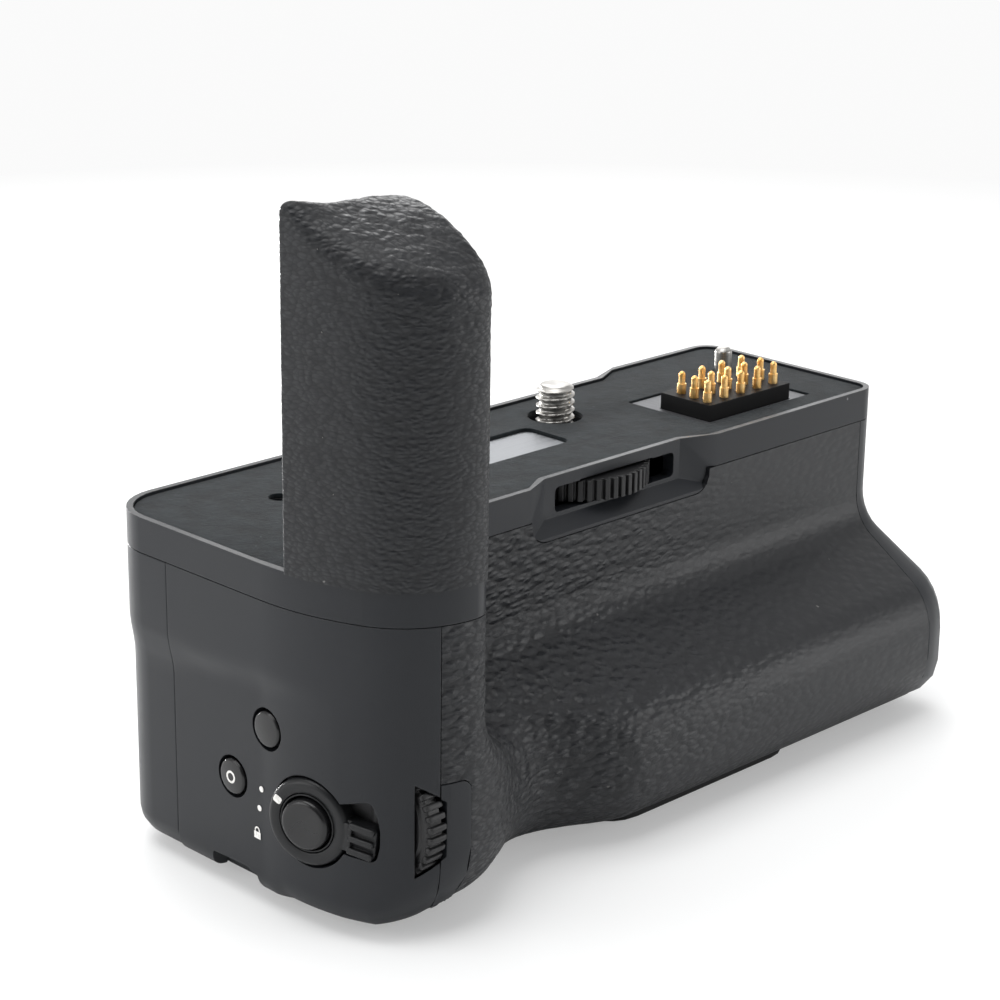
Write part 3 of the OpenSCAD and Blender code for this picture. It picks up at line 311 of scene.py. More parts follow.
def makePaint(name):
    material, tree, shader, coords = startMaterial(name, Roughness=0.45)
    worn = noiseAt(tree, coords, 2600, 3)
    paint = mixColour(tree, remap(tree, worn, 0.3, 0.55, 0, 1), (0.62, 0.61, 0.58), (0.86, 0.85, 0.82))
    setInputs(tree, shader, {"Base Color": paint})
    setBump(tree, shader, worn, 0.00001)
    return material


finish = {name: makePlastic(name) for name in plasticLooks}
finish.update({name: makeMetal(name) for name in metalLooks})
finish.update({name: makeLeather(name) for name in leatherGrain})
finish["deckSuede"] = makeSuede("deckSuede")
finish["markPaint"] = makePaint("markPaint")
print("materials made,", len(finish))

nodeFinish = {
    "shellPlastic": "top_frame front_case end_cover right_end rear_case bottom_cover dial_bezel "
                    "battery_tray tray_latch post_core",
    "frontLeather": "front_skin", "postLeather": "post_skin", "footRubber": "foot_plate", "deckSuede": "deck_pad",
    "keyPlastic": "shutter_button fn_button quick_button exposure_button focus_button",
    "blockPlastic": "contact_block", "ringPlastic": "lock_ring shutter_collar",
    "dialPlastic": "thumbwheel front_dial rear_dial focus_stick",
    "turnedSteel": "camera_screw guide_pin tripod_bush wheel_spindle front_axle rear_axle case_screws stick_gimbal",
    "goldPlate": "contact_pins screw_gear battery_contacts",
    "satinPlate": "label_plate drive_bracket", "greyPlate": "connector_plate",
    "innerPlastic": "control_block rear_mount battery_bay", "boardMask": "main_board",
    "cellPlastic": "battery_inner battery_outer"}
finishOf = {}
for key, names in nodeFinish.items():
    for name in names.split():
        finishOf[name] = key
        mesh = frame["nodes"][name].data
        mesh.materials.clear()
        mesh.materials.append(finish[key])


def linked(name, data):
    piece = bpy.data.objects.new(name, data)
    bpy.context.scene.collection.objects.link(piece)
    return piece


def newPiece(name, mesh, look, ridesOn, stands=None, angle=38):
    mesh.materials.clear()
    mesh.materials.append(finish[look])
    mesh.polygons.foreach_set("material_index", [0] * len(mesh.polygons))
    if angle:
        mesh.polygons.foreach_set("use_smooth", [True] * len(mesh.polygons))
        mesh.set_sharp_from_angle(angle=math.radians(angle))
    piece = linked(name, mesh)
    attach(piece, ridesOn)
    if stands:
        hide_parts(stands)
    return piece


def meshFrom(name, points, faces):
    mesh = bpy.data.meshes.new(name)
    mesh.from_pydata([toFrame(p) for p in points], [], faces)
    mesh.update()
    return mesh


def gridFaces(columns, rows):
    starts = [j * rows + k for j in range(columns) for k in range(rows - 1)]
    return [(a, a + 1, a + rows + 1, a + rows) for a in starts]


def ringFaces(rings, n):
    # rings of n points stacked upwards, closed round
    pairs = [(j * n + k, j * n + (k + 1) % n) for j in range(rings - 1) for k in range(n)]
    return [(a, b, b + n, a + n) for a, b in pairs]


def evaluated(piece):
    graph = bpy.context.evaluated_depsgraph_get()
    mesh = bpy.data.meshes.new_from_object(piece.evaluated_get(graph), depsgraph=graph)
    bpy.data.objects.remove(piece)
    return mesh


def reworked(mesh, change):
    work = bmesh.new()
    work.from_mesh(mesh)
    change(work)
    work.to_mesh(mesh)
    work.free()
    return mesh


def faceOutwards(work):
    bmesh.ops.recalc_face_normals(work, faces=work.faces)


def addBevel(piece, width, segments, angle):
    bevel = piece.modifiers.new("rounding", "BEVEL")
    bevel.width, bevel.segments = width / 1000, segments
    bevel.limit_method, bevel.angle_limit = "ANGLE", math.radians(angle)
    return bevel


def thickened(name, mesh, thickness, offset):
    piece = linked(name, mesh)
    solid = piece.modifiers.new("thickness", "SOLIDIFY")
    solid.thickness, solid.offset = thickness / 1000, offset
    return piece


def smooth(low, high, value):
    t = max(0.0, min(1.0, (value - low) / (high - low)))
    return t * t * (3 - 2 * t)


def quarter(steps, last=90):
    # ways in and down of a unit rounding, from its side to its top
    turns = [math.radians(last) * k / steps for k in range(steps + 1)]
    return [(1 - math.cos(a), 1 - math.sin(a)) for a in turns]


# rounded edges on a merged copy of a node
softEdges = {
    "top_frame": (0.22, 3), "contact_block": (0.16, 2), "shutter_collar": (0.2, 2),
    "dial_bezel": (0.3, 3), "battery_tray": (0.25, 2), "tray_latch": (0.2, 2), "foot_plate": (0.25, 2),
    "thumbwheel": (0.14, 2), "right_end": (0.16, 2), "rear_case": (0.16, 2),
    "bottom_cover": (0.3, 2), "connector_plate": (0.08, 2), "label_plate": (0.06, 2), "deck_pad": (0.25, 2),
    "focus_stick": (0.15, 2), "battery_inner": (0.8, 3), "battery_outer": (0.8, 3), "tripod_bush": (0.15, 2),
    "guide_pin": (0.2, 3)}
bodyOf = {n: b for b, ns in frame["record"]["behaviour"]["bodies"].items() for n in ns}

# the fold of the left end sits lower than in the solids
endFold = {"from": 11.5, "span": 7.0, "drop": 4.2, "rise": 1.8, "reach": 9.5, "margin": 1.2}


def lowerFold(work):
    high = body["rim"] - endFold["from"]
    low = high - endFold["span"] - endFold["margin"]
    for vertex in work.verts:
        x, z = vertex.co.x * 1000 + body["originX"], vertex.co.z * 1000
        if x < endFold["reach"] and low < z < high:
            vertex.co.z -= endFold["drop"] / 1000


def softCopy(node, width, segments):
    def merge(work):
        bmesh.ops.remove_doubles(work, verts=work.verts, dist=2e-6)
        if node == "rear_case":
            lowerFold(work)
        bmesh.ops.dissolve_limit(work, angle_limit=math.radians(0.6), verts=work.verts, edges=work.edges)

    mesh = reworked(frame["nodes"][node].data.copy(), merge)
    mesh.polygons.foreach_set("use_smooth", [True] * len(mesh.polygons))
    mesh.set_sharp_from_angle(angle=math.radians(38))
    piece = linked("softWork", mesh)
    bevel = addBevel(piece, width, segments, 40)
    bevel.use_clamp_overlap = True
    bevel.miter_outer = "MITER_ARC"
    bevel.harden_normals = True
    piece.modifiers.new("weighing", "WEIGHTED_NORMAL").keep_sharp = True
    return evaluated(piece)


for node, (width, segments) in softEdges.items():
    newPiece("soft_" + node, softCopy(node, width, segments), finishOf[node], bodyOf[node], node, 0)
print("edges rounded on", len(softEdges), "nodes")


def ringAt(r, z, count):
    turns = [2 * math.pi * k / count for k in range(count)]
    return [Vector((r * math.cos(a), r * math.sin(a), z)) for a in turns]


def lathe(profile, matrix, count=64):
    points, faces, starts = [], [], []
    for r, z in profile:
        starts.append(len(points))
        points += [matrix @ p for p in (ringAt(r, z, count) if r > 1e-6 else [Vector((0, 0, z))])]
    for j in range(len(profile) - 1):
        a, b = starts[j], starts[j + 1]
        aRing, bRing = profile[j][0] > 1e-6, profile[j + 1][0] > 1e-6
        for k in range(count):
            n = (k + 1) % count
            if aRing and bRing:
                faces.append((a + k, a + n, b + n, b + k))
            elif aRing:
                faces.append((a + k, a + n, b))
            elif bRing:
                faces.append((a, b + n, b + k))
    return points, faces


def roundOver(r, top, radius):
    return [(r - radius * inwards, top - radius * down) for inwards, down in quarter(6)]


# turned buttons: stem, cap and domed or dished top
buttons = {
    "shutter_button": {"frame": shutterFrame, "stem": (1.5, -5.5), "cap": (3.75, -1.6), "top": 1.2, "round": 0.7,
                       "dish": -0.12}}
for name, place in (("fn_button", (2.8, 28.1)), ("quick_button", (10.6, 18.4))):
    buttons[name] = {"frame": endFrame(*place), "stem": (1, -6), "cap": (2.7, -1.2), "top": 0.28, "round": 0.45,
                     "dish": 0.14}
for name, place in (("exposure_button", (26, 43)), ("focus_button", (26, 33))):
    buttons[name] = {"frame": backFrame(*place), "stem": (1, -6), "cap": (3, -1), "top": 0.36, "round": 0.5,
                     "dish": 0.14}


def buttonProfile(b):
    edge = roundOver(b["cap"][0], b["top"], b["round"])
    flat = edge[-1][0]
    crown = [(flat * s, b["top"] + b["dish"] * (1 - s * s)) for s in (0.75, 0.5, 0.25, 0)]
    (stem, bottom), (cap, under), rim = b["stem"], b["cap"], 0.15
    return [(0, bottom), (stem, bottom), (stem, under), (cap - rim, under), (cap, under + rim)] + edge + crown


for name, b in buttons.items():
    newPiece("turned_" + name, meshFrom(name, *lathe(buttonProfile(b), b["frame"])), "keyPlastic", name, name)
print("buttons turned,", len(buttons))

# camera screw with a cut thread
screw = {"x": 82, "y": 25.7, "radius": 3.175, "root": 2.6, "pitch": 1.27, "top": 58.0, "threadFrom": 50.6,
         "collar": (4.15, 47.8, 50.4), "foot": (2.45, 35.5, 38.5), "shaftFrom": 38.3, "rim": 0.2, "sides": 72,
         "perTurn": 12, "entry": 0.7, "ridge": (1.35, 4.2), "chamfer": (0.25, 0.3)}


def threadMesh(s):
    count, top, rim = s["sides"], s["top"], s["rim"]
    (flat, slope), (inset, chamfer) = s["ridge"], s["chamfer"]
    steps = int((top - s["threadFrom"]) / s["pitch"] * s["perTurn"])
    (foot, footLow, footTop), (collar, low, high) = s["foot"], s["collar"]
    rows = [(foot, footLow), (foot, footTop), (s["radius"], s["shaftFrom"]), (s["radius"], low), (collar, low + rim),
            (collar, high - rim), (collar - rim, high), (s["root"], high + 0.01)]
    points = [p for r, z in rows for p in ringAt(r, z, count)]
    for j in range(steps + 1):
        z = s["threadFrom"] + (top - s["threadFrom"]) * j / steps
        entry = min(1.0, (top - z) / s["entry"])
        for k in range(count):
            phase = ((z / s["pitch"]) - k / count) % 1
            ridge = max(0.0, min(1.0, flat - abs(phase - 0.5) * slope))
            r = s["root"] + (s["radius"] - s["root"]) * ridge * entry - inset * max(0, 1 - (top - z) / chamfer)
            a = 2 * math.pi * k / count
            points.append(Vector((r * math.cos(a), r * math.sin(a), z)))
    rings = len(rows) + steps + 1
    faces = ringFaces(rings, count)
    faces += [tuple(reversed(range(count))), tuple(range((rings - 1) * count, rings * count))]
    return [p + Vector((s["x"], s["y"], 0)) for p in points], faces


newPiece("threaded_camera_screw", meshFrom("cameraScrew", *threadMesh(screw)), "turnedSteel", "camera_screw",
         "camera_screw", 50)
print("camera screw threaded")


# node trees that build what repeats
def newTree(name, sizes):
    tree = bpy.data.node_groups.new(name, "GeometryNodeTree")
    tree.interface.new_socket("Geometry", in_out="INPUT", socket_type="NodeSocketGeometry")
    tree.interface.new_socket("Geometry", in_out="OUTPUT", socket_type="NodeSocketGeometry")
    for label, kind in sizes:
        tree.interface.new_socket(label, in_out="INPUT", socket_type="NodeSocket" + kind)
    return tree, tree.nodes.new("NodeGroupInput").outputs, tree.nodes.new("NodeGroupOutput").inputs


def runTree(tree, mesh, values):
    piece = linked("nodeWork", mesh)
    modifier = piece.modifiers.new("build", "NODES")
    modifier.node_group = tree
    for item in tree.interface.items_tree:
        if item.in_out == "INPUT" and item.name in values:
            modifier[item.identifier] = values[item.name]
    return evaluated(piece)


def endTree(tree, geometry, look, output):
    real = addNode(tree, "GeometryNodeRealizeInstances", {0: geometry}).outputs[0]
    done = addNode(tree, "GeometryNodeSetMaterial", {"Geometry": real, "Material": finish[look]}).outputs[0]
    tree.links.new(done, output["Geometry"])


# contact pins: a turned plunger on every spot of the block
pins = {"x": 98.8, "y": 6.9, "length": 20.4, "bottom": 48.3, "top": 58.7, "radius": 0.75, "tip": 0.74, "sides": 20,
        "rows": ((1.6, 2, 5), (1.9, 5.1, 5), (2.4, 8.3, 4)), "margin": 1.8, "lastGap": 5.05}


def pinSpots(p):
    # each row: first pin, distance from the front, count
    step = (p["length"] - 2 * p["margin"]) / 4
    gaps = (step, step, p["lastGap"])
    return [(p["x"] + x + k * gap, p["y"] + y, p["bottom"])
            for (x, y, n), gap in zip(p["rows"], gaps) for k in range(n)]


def pinTree():
    # a barrel, a narrower plunger and its dome: share of the length, height of the middle
    tree, given, out = newTree("contactPinTree", [("Radius", "Float"), ("Length", "Float")])
    tip = times(tree, given["Radius"], pins["tip"])
    join = addNode(tree, "GeometryNodeJoinGeometry")
    for radius, share, middle in ((given["Radius"], 0.8, 0.4), (tip, 0.3, 0.797), (tip, 0, 0.947)):
        if share:
            part = addNode(tree, "GeometryNodeMeshCylinder", {"Vertices": pins["sides"], "Radius": radius,
                                                              "Depth": times(tree, given["Length"], share)})
        else:
            part = addNode(tree, "GeometryNodeMeshUVSphere", {"Segments": pins["sides"], "Rings": 10, "Radius": radius})
        up = addNode(tree, "ShaderNodeCombineXYZ", {"Z": times(tree, given["Length"], middle)}).outputs[0]
        moved = addNode(tree, "GeometryNodeTransform", {"Geometry": part.outputs[0], "Translation": up})
        tree.links.new(moved.outputs[0], join.inputs[0])
    spread = addNode(tree, "GeometryNodeInstanceOnPoints", {"Points": given["Geometry"], "Instance": join.outputs[0]})
    endTree(tree, spread.outputs[0], "goldPlate", out)
    return tree


pinMesh = runTree(pinTree(), meshFrom("pinSpots", pinSpots(pins), []),
                  {"Radius": pins["radius"] / 1000, "Length": (pins["top"] - pins["bottom"]) / 1000})
newPiece("plunger_contact_pins", pinMesh, "goldPlate", "contact_pins", "contact_pins")

# dials: rounded ribs round a turned core
dials = {
    "front_dial": {"centre": (10.1, -13.6, 17.7), "radius": 9, "ribs": 34},
    "rear_dial": {"centre": (15, 32.4, 38), "radius": 7.5, "ribs": 30}}
dialSize = {"thickness": 3.2, "bore": 1.05, "rib": 0.6}


def ribTree():
    sizes = [("Ribs", "Int")] + [(label, "Float") for label in ("Radius", "Rib Width", "Rib Height", "Rib Length")]
    tree, given, out = newTree("dialRibTree", sizes)
    ring = addNode(tree, "GeometryNodeMeshCircle", {"Vertices": given["Ribs"], "Radius": given["Radius"]})
    size = addNode(tree, "ShaderNodeCombineXYZ",
                   {"X": given["Rib Height"], "Y": given["Rib Width"], "Z": given["Rib Length"]})
    cube = addNode(tree, "GeometryNodeMeshCube", {"Vertices X": 3, "Vertices Y": 4, "Vertices Z": 5})
    softer = addNode(tree, "GeometryNodeSubdivisionSurface", {"Mesh": cube.outputs[0], "Level": 1})
    shaped = addNode(tree, "GeometryNodeTransform", {"Geometry": softer.outputs[0], "Scale": size.outputs[0]})
    place = addNode(tree, "GeometryNodeInputPosition")
    face = addNode(tree, "FunctionNodeAlignRotationToVector", {"Vector": place.outputs[0]}, axis="X")
    spread = addNode(tree, "GeometryNodeInstanceOnPoints",
                     {"Points": ring.outputs[0], "Instance": shaped.outputs[0], "Rotation": face.outputs[0]})
    join = addNode(tree, "GeometryNodeJoinGeometry")
    tree.links.new(given["Geometry"], join.inputs[0])
    tree.links.new(spread.outputs[0], join.inputs[0])
    endTree(tree, join.outputs[0], "dialPlastic", out)
    return tree


ribs = ribTree()


def dialMesh(d):
    half, root, bore = dialSize["thickness"] / 2, d["radius"] - dialSize["rib"], dialSize["bore"]
    upper = [(root, half - 0.6), (root - 0.5, half - 0.25), (root - 1.3, half - 0.25), (root - 1.6, half),
             (bore + 0.3, half), (bore, half - 0.3)]
    lower = [(r, -z) for r, z in reversed(upper)]
    core = bpy.data.meshes.new("dialCore")
    points, faces = lathe(lower + upper + lower[:1], Matrix.Scale(0.001, 4), 72)
    core.from_pydata(points, [], faces)
    mesh = runTree(ribs, core, {"Ribs": d["ribs"], "Radius": (root + 0.05) / 1000,
                                "Rib Width": 2 * math.pi * root / d["ribs"] * 0.6 / 1000,
                                "Rib Height": 2 * dialSize["rib"] / 1000 * 0.93,
                                "Rib Length": dialSize["thickness"] / 1000})
    mesh.transform(Matrix.Translation(toFrame(d["centre"])) @ turn(90, "Y"))
    return mesh


for name, d in dials.items():
    newPiece("ribbed_" + name, dialMesh(d), "dialPlastic", name, name)
print("pins and dials made with nodes")


# leather covering, the same rule as the solid with a much finer grid
def arcAt(cx, cy, r, angle):
    a = math.radians(angle)
    return Vector((cx + r * math.cos(a), cy + r * math.sin(a)))


skin = {"step": 0.44, "rows": 168, "thickness": 0.9, "relief": 0.07, "wrinkle": 0.08, "warp": 0.5,
        "warpScale": 0.35, "foldScale": 0.42, "foldFrom": (7, 3, 1), "lastAngle": 80,
        "notch": (50.68, 91.12, 43.88, 100, 3.12), "bezel": (-100, 16.12, 3.68, 24.52, 1.92), "seed": 5}
# without a fixed seed the relief's pattern would change from run to run
noise.seed_set(skin["seed"])
shelf = {"angle": 65, "inner": 7, "outer": 9, "top": 35}


def upperFront(s):
    stops = [(4, (20.8, -18.7)), (5, (20.8, -13)), (6, (20.8, -8)), (7, (20.8, -5)), (11, (25.8, 0)), (12, (30, 0)),
             (13, (36, 0)), (14, (42, 0)), (15, (48, 0)), (16, (55, 0))]
    if s <= 4:
        return arcAt(16.8, -18.7, 4, 278 + 82 * s / 4)
    if 7 <= s <= 11:
        return arcAt(25.8, -5, 5, 180 - 90 * (s - 7) / 4)
    for (s0, p0), (s1, p1) in zip(stops, stops[1:]):
        if s <= s1:
            return Vector(p0).lerp(Vector(p1), (s - s0) / (s1 - s0))
    return Vector(stops[-1][1])


def lowerFront(t):
    blend = (1 - math.cos(math.pi * t)) / 2
    swell = (body["noseOut"] - body["bulge"]) * blend + (body["noseOut"] - 16.2) * math.sin(math.pi * t) ** 2
    return Vector((body["noseX"] + 1.4 + 38 * t, swell - body["noseOut"] + 0.2))


def frontColumn(q):
    # q runs 0..1 over the nose, 1..2 to the corner, 2..18 over the hollow, 18..19 along the swell
    if q <= 1:
        p = arcAt(body["noseX"], noseY, body["noseR"], seamA + (270 - seamA) * q)
        return p, p, body["noseRound"] - 2 + 2 * q
    if q <= 2:
        a = frontColumn(1)
        b = frontColumn(2.0001)
        return tuple(x.lerp(y, q - 1) if isinstance(x, Vector) else x + (y - x) * (q - 1) for x, y in zip(a, b))
    if q <= 18:
        s = q - 2
        return upperFront(s), lowerFront((s + 0.4) / 16.4), body["noseRound"] + (10 - body["noseRound"]) * s / 16
    far = body["length"] - 4.4
    low = far - body["endRound"] + 3.7
    t = q - 18
    return Vector((55 + (far - 55) * t, 0)), Vector((56.2 + (low - 56.2) * t, -19.8 - 0.2 * min(1.0, t * 6))), 10


def frontRows():
    last = math.radians(shelf["angle"])
    inner, outer, steps, turns = shelf["inner"], shelf["outer"], 8, [last * k / 16 for k in range(17)]
    run = (body["bulge"] - (inner + outer) * (1 - math.cos(last))) / math.sin(last)
    lineY, lineZ = inner * (1 - math.cos(last)), shelf["top"] - inner * math.sin(last)
    outY, outZ = lineY + run * math.sin(last), lineZ - run * math.cos(last)
    rows = [(body["rim"] - body["band"] - body["seam"], 0), (42, 0)]
    rows += [(shelf["top"] - inner * math.sin(a), inner * (1 - math.cos(a))) for a in turns]
    rows += [(lineZ + (outZ - lineZ) * t / steps, lineY + (outY - lineY) * t / steps) for t in range(1, steps)]
    rows += [(outZ - outer * (math.sin(last) - math.sin(a)), outY + outer * (math.cos(a) - math.cos(last)))
             for a in reversed(turns)]
    return [(z, y / body["bulge"]) for z, y in rows]


def evenly(line, count):
    # even steps along a line: index of a corner and the share of the way to the next
    lengths = [0]
    for p, q in zip(line, line[1:]):
        lengths.append(lengths[-1] + (q - p).length)
    out, k = [], 0
    for j in range(count):
        want = lengths[-1] * j / (count - 1)
        while k < len(line) - 2 and lengths[k + 1] < want:
            k += 1
        out.append((k, (want - lengths[k]) / max(1e-9, lengths[k + 1] - lengths[k])))
    return out, lengths


def resample(line, count):
    return [line[k].lerp(line[k + 1], share) for k, share in evenly(line, count)[0]]


def frontLine(q, inward):
    u, l, rb = frontColumn(q)
    line = [Vector((*u.lerp(l, share), z)) for z, share in frontRows()]
    return line + [Vector((*(l + inward * rb * c), body["foot"] + rb * d)) for c, d in quarter(16, skin["lastAngle"])]


def leatherHeight(p, direction, squeeze, cell):
    # soft pebbles with folds, both stretched along one direction
    v = p - direction * p.dot(direction) * squeeze
    warp = noise.noise_vector(v * skin["warpScale"]) * skin["warp"]
    d = noise.voronoi((v + warp) * cell)[0]
    folds = noise.fractal(v * skin["foldScale"] + Vector(skin["foldFrom"]), 0.8, 2.1, 3)
    return min(1.0, d[1] - d[0]) * skin["relief"] + folds * skin["wrinkle"]


gain = {"base": 0.34, "fade": 0.22, "fadeX": (50, 85), "hollow": 2.1, "hollowAt": (34, 18), "hollowSize": (14, 13),
        "upper": 0.4, "upperZ": (24, 36), "upperX": (45, 100)}


def frontGain(p):
    # strongest in the finger hollow, fading along the swell
    (x, z), (wide, high) = gain["hollowAt"], gain["hollowSize"]
    hollow = math.exp(-((p.x - x) / wide) ** 2 - ((p.z - z) / high) ** 2)
    upper = smooth(*gain["upperZ"], p.z) * (1 - smooth(*gain["upperX"], p.x))
    return gain["base"] - gain["fade"] * smooth(*gain["fadeX"], p.x) + gain["hollow"] * hollow + gain["upper"] * upper


def nearRounded(p, x0, x1, z0, z1, r):
    # the nearest point of the core of a rounded rectangle, and the way from there to p
    core = Vector((min(max(p.x, x0 + r), x1 - r), min(max(p.z, z0 + r), z1 - r)))
    return core, Vector((p.x, p.z)) - core


def cutAway(p):
    for key, near in (("notch", p.y > -4), ("bezel", p.y < 12 - body["noseOut"])):
        x0, x1, z0, z1, r = skin[key]
        if near and x0 < p.x < x1 and z0 < p.z < z1:
            return nearRounded(p, *skin[key])[1].length < r
    return False


def toOutline(p):
    edge = skin["notch" if p.y > -4 else "bezel"]
    core, off = nearRounded(p, *edge)
    spot = core + (off.normalized() * edge[-1] if off.length > 1e-6 else off)
    return Vector((spot.x, p.y, spot.y))


def makeFrontLeather():
    perColumn, rows = 40, skin["rows"]
    columns = [frontColumn(k / perColumn) for k in range(19 * perColumn + 1)]
    guide = [upper.lerp(lower, 0.6) for upper, lower, _ in columns]
    count = int(evenly(guide, 2)[1][-1] / skin["step"])
    qs = [(k + share) / perColumn for k, share in evenly(guide, count + 1)[0]]
    lowers = [frontColumn(q)[1] for q in qs]
    grid = []
    for j, q in enumerate(qs):
        d = (lowers[min(count, j + 2)] - lowers[max(0, j - 2)]).normalized()
        grid.append(resample(frontLine(q, Vector((-d.y, d.x))), rows))
    drawn = Vector((0.8, -0.2, 0.45)).normalized()
    points = []
    for j, line in enumerate(grid):
        for k, p in enumerate(line):
            along = grid[min(count, j + 1)][k] - grid[max(0, j - 1)][k]
            down = line[min(rows - 1, k + 1)] - line[max(0, k - 1)]
            margin = min(1.0, min(j, count - j, k, rows - 1 - k) / 3)
            raised = leatherHeight(p, drawn, 0.62, 0.72) * margin * frontGain(p)
            points.append(p + down.cross(along).normalized() * raised)
    inside = [cutAway(p) for p in points]
    faces = [quad for quad in gridFaces(count, rows) if sum(inside[i] for i in quad) < 3]
    kept = {i for f in faces for i in f}
    points = [toOutline(p) if inside[i] and i in kept else p for i, p in enumerate(points)]

    def clean(work):
        bmesh.ops.delete(work, geom=[v for v in work.verts if not v.link_faces], context="VERTS")
        faceOutwards(work)

    mesh = reworked(meshFrom("frontLeather", points, faces), clean)
    middle = mesh.polygons[len(mesh.polygons) // 2]
    return evaluated(thickened("leatherWork", mesh, skin["thickness"], -1 if middle.normal.y < 0.2 else 1))


newPiece("leather_front_skin", makeFrontLeather(), "frontLeather", "grip", "front_skin", 60)
print("front leather laid")

# post leather: walls, rounded edge and the twisted crown
post = {"top": 104.9, "back": 2.5, "fall": 0.46, "tilt": 0.15, "bow": 3.1, "hollow": 2.3, "round": 3.2, "tighter": 1.4,
        "bottom": 52.7, "grow": 0.25, "cover": 0.35, "dish": 0.1, "columns": 300, "walls": 170, "turns": 12,
        "crown": 36, "middle": (11, -11), "dip": (7.5, 5, 9), "tightX": (7, 19), "crownZ": (-17, -4)}


def postRing():
    g, yb = post["grow"], post["cover"] - post["back"]
    start = 180 + math.degrees(math.asin((sweepY - yb) / (body["sweepR"] + g)))
    arcs = [(body["sweepR"], sweepY, body["sweepR"], start, 180 + body["sweepA"], 16),
            (body["noseX"], noseY, body["noseR"], 185 + body["sweepA"], 270, 40), (16.8, -18.7, 4, 286, 360, 14)]
    line = [arcAt(x, y, r + g, a + (b - a) * k / n) for x, y, r, a, b, n in arcs for k in range(n + 1)]
    line += [Vector(p) for p in ((20.9 + g, -13), (21.4 + g, yb - 1.2), (20.2 + g, yb))]
    ring = resample(line + line[:1], post["columns"])[:-1]
    n = len(ring)
    for _ in range(3):
        ring = [ring[k] * 0.5 + (ring[k - 1] + ring[(k + 1) % n]) * 0.25 for k in range(n)]
    return ring


def postHeight(x, y):
    half = (body["noseOut"] - post["back"]) / 2
    mid = (body["noseOut"] + post["back"]) / 2
    bow = (post["bow"] + post["hollow"]) * x / body["sideX"] - post["hollow"]
    z = post["top"] - post["tilt"] * x + post["fall"] * (y + post["back"]) + bow * (1 - ((y + mid) / half) ** 2)
    at, wide, long = post["dip"]
    dip = math.exp(-((x - at) / wide) ** 2) * max(0.0, 1 + (y + post["back"]) / long)
    return z + post["grow"] - post["dish"] * dip


def postRound(x):
    return post["round"] - post["tighter"] * smooth(*post["tightX"], x)


def postLevels(ring):
    mid, bottom, levels = Vector(post["middle"]), post["bottom"], []

    def pulled(p, s):
        return p + (mid - p).normalized() * s

    def onTop(q, drop):
        return Vector((q.x, q.y, postHeight(q.x, q.y) - drop))

    heights = [postHeight(p.x, p.y) - postRound(p.x) - bottom for p in ring]
    for k in range(post["walls"] + 1):
        levels.append([Vector((p.x, p.y, bottom + h * (k / post["walls"]))) for p, h in zip(ring, heights)])
    for c, d in quarter(post["turns"])[1:]:
        levels.append([onTop(pulled(p, postRound(p.x) * c), postRound(p.x) * d) for p in ring])
    for k in range(1, post["crown"]):
        levels.append([onTop(pulled(p, postRound(p.x)).lerp(mid, k / post["crown"]), 0) for p in ring])
    return levels, onTop(mid, 0)


def makePostLeather():
    ring = postRing()
    levels, tip = postLevels(ring)
    n, m = len(ring), len(levels)
    around = [0]
    for a, b in zip(ring, ring[1:]):
        around.append(around[-1] + (b - a).length)
    points = []
    across, sideways = Vector((0.7, -0.7, 0.1)).normalized(), Vector((1, 0, 0))
    for j, level in enumerate(levels):
        for k, p in enumerate(level):
            up = levels[min(m - 1, j + 1)][k] - levels[max(0, j - 1)][k]
            normal = (level[(k + 1) % n] - level[k - 1]).cross(up)
            normal = normal.normalized() if normal.length > 1e-9 else Vector((0, 0, 1))
            crown = smooth(*post["crownZ"], p.z - postHeight(p.x, p.y))
            wall = leatherHeight(Vector((around[k], 0, p.z)), sideways, 0.5, 1.3) * 0.4
            folded = leatherHeight(p, across, 0.45, 0.8) * (0.8 + 1.1 * smooth(3, 12, p.x))
            points.append(p + normal * (wall + (folded - wall) * crown) * min(1.0, j / 3))
    points.append(tip)
    faces = [tuple(reversed(range(n)))] + ringFaces(m, n)
    faces += [((m - 1) * n + k, (m - 1) * n + (k + 1) % n, m * n) for k in range(n)]
    return meshFrom("postLeather", points, faces)


newPiece("leather_post_skin", makePostLeather(), "postLeather", "grip", "post_skin", 60)
print("post leather laid")

# end cover on a fine grid with its openings cut out
cover = {"columns": 64, "walls": 40, "turns": 12, "thickness": 2.0, "back": 23.5, "ringHole": 6.8, "keyHole": 3.2,
         "lever": (-96, 20, 4.8, 10.8), "dial": (8.1, 12.05, -13.6, 17.7, 9.35),
         "notch": [(5, -1), (5.6, 4.4), (8, 5.2), (15.4, 5), (17.6, -1)]}
coverRuns = (cover["back"] - sweepY, body["sweepR"] * math.radians(body["sweepA"]),
             body["noseR"] * math.radians(seamA - 180.4 - body["sweepA"]))


def coverColumn(s):
    # s is the plan length from the back edge of the cover
    straight, sweep, _ = coverRuns
    if s <= straight:
        p, inward, rb = Vector((0, cover["back"] - s)), Vector((1, 0)), 3.5
    elif s <= straight + sweep:
        a = 180 + math.degrees((s - straight) / body["sweepR"])
        p = arcAt(body["sweepR"], sweepY, body["sweepR"], a)
        inward, rb = (Vector((body["sweepR"], sweepY)) - p).normalized(), 3.5 + 1.5 * min(1.0, (a - 180) / 4)
    else:
        a = 180 + body["sweepA"] + math.degrees((s - straight - sweep) / body["noseR"])
        p = arcAt(body["noseX"], noseY, body["noseR"], a)
        inward = (Vector((body["noseX"], noseY)) - p).normalized()
        rb = 5 + (body["noseRound"] - 7) * max(0.0, (a - 208) / (seamA - 208.4))
    return p, inward, rb, body["endStep"] * max(0.0, min(1.0, (p.y + 10) / 14))


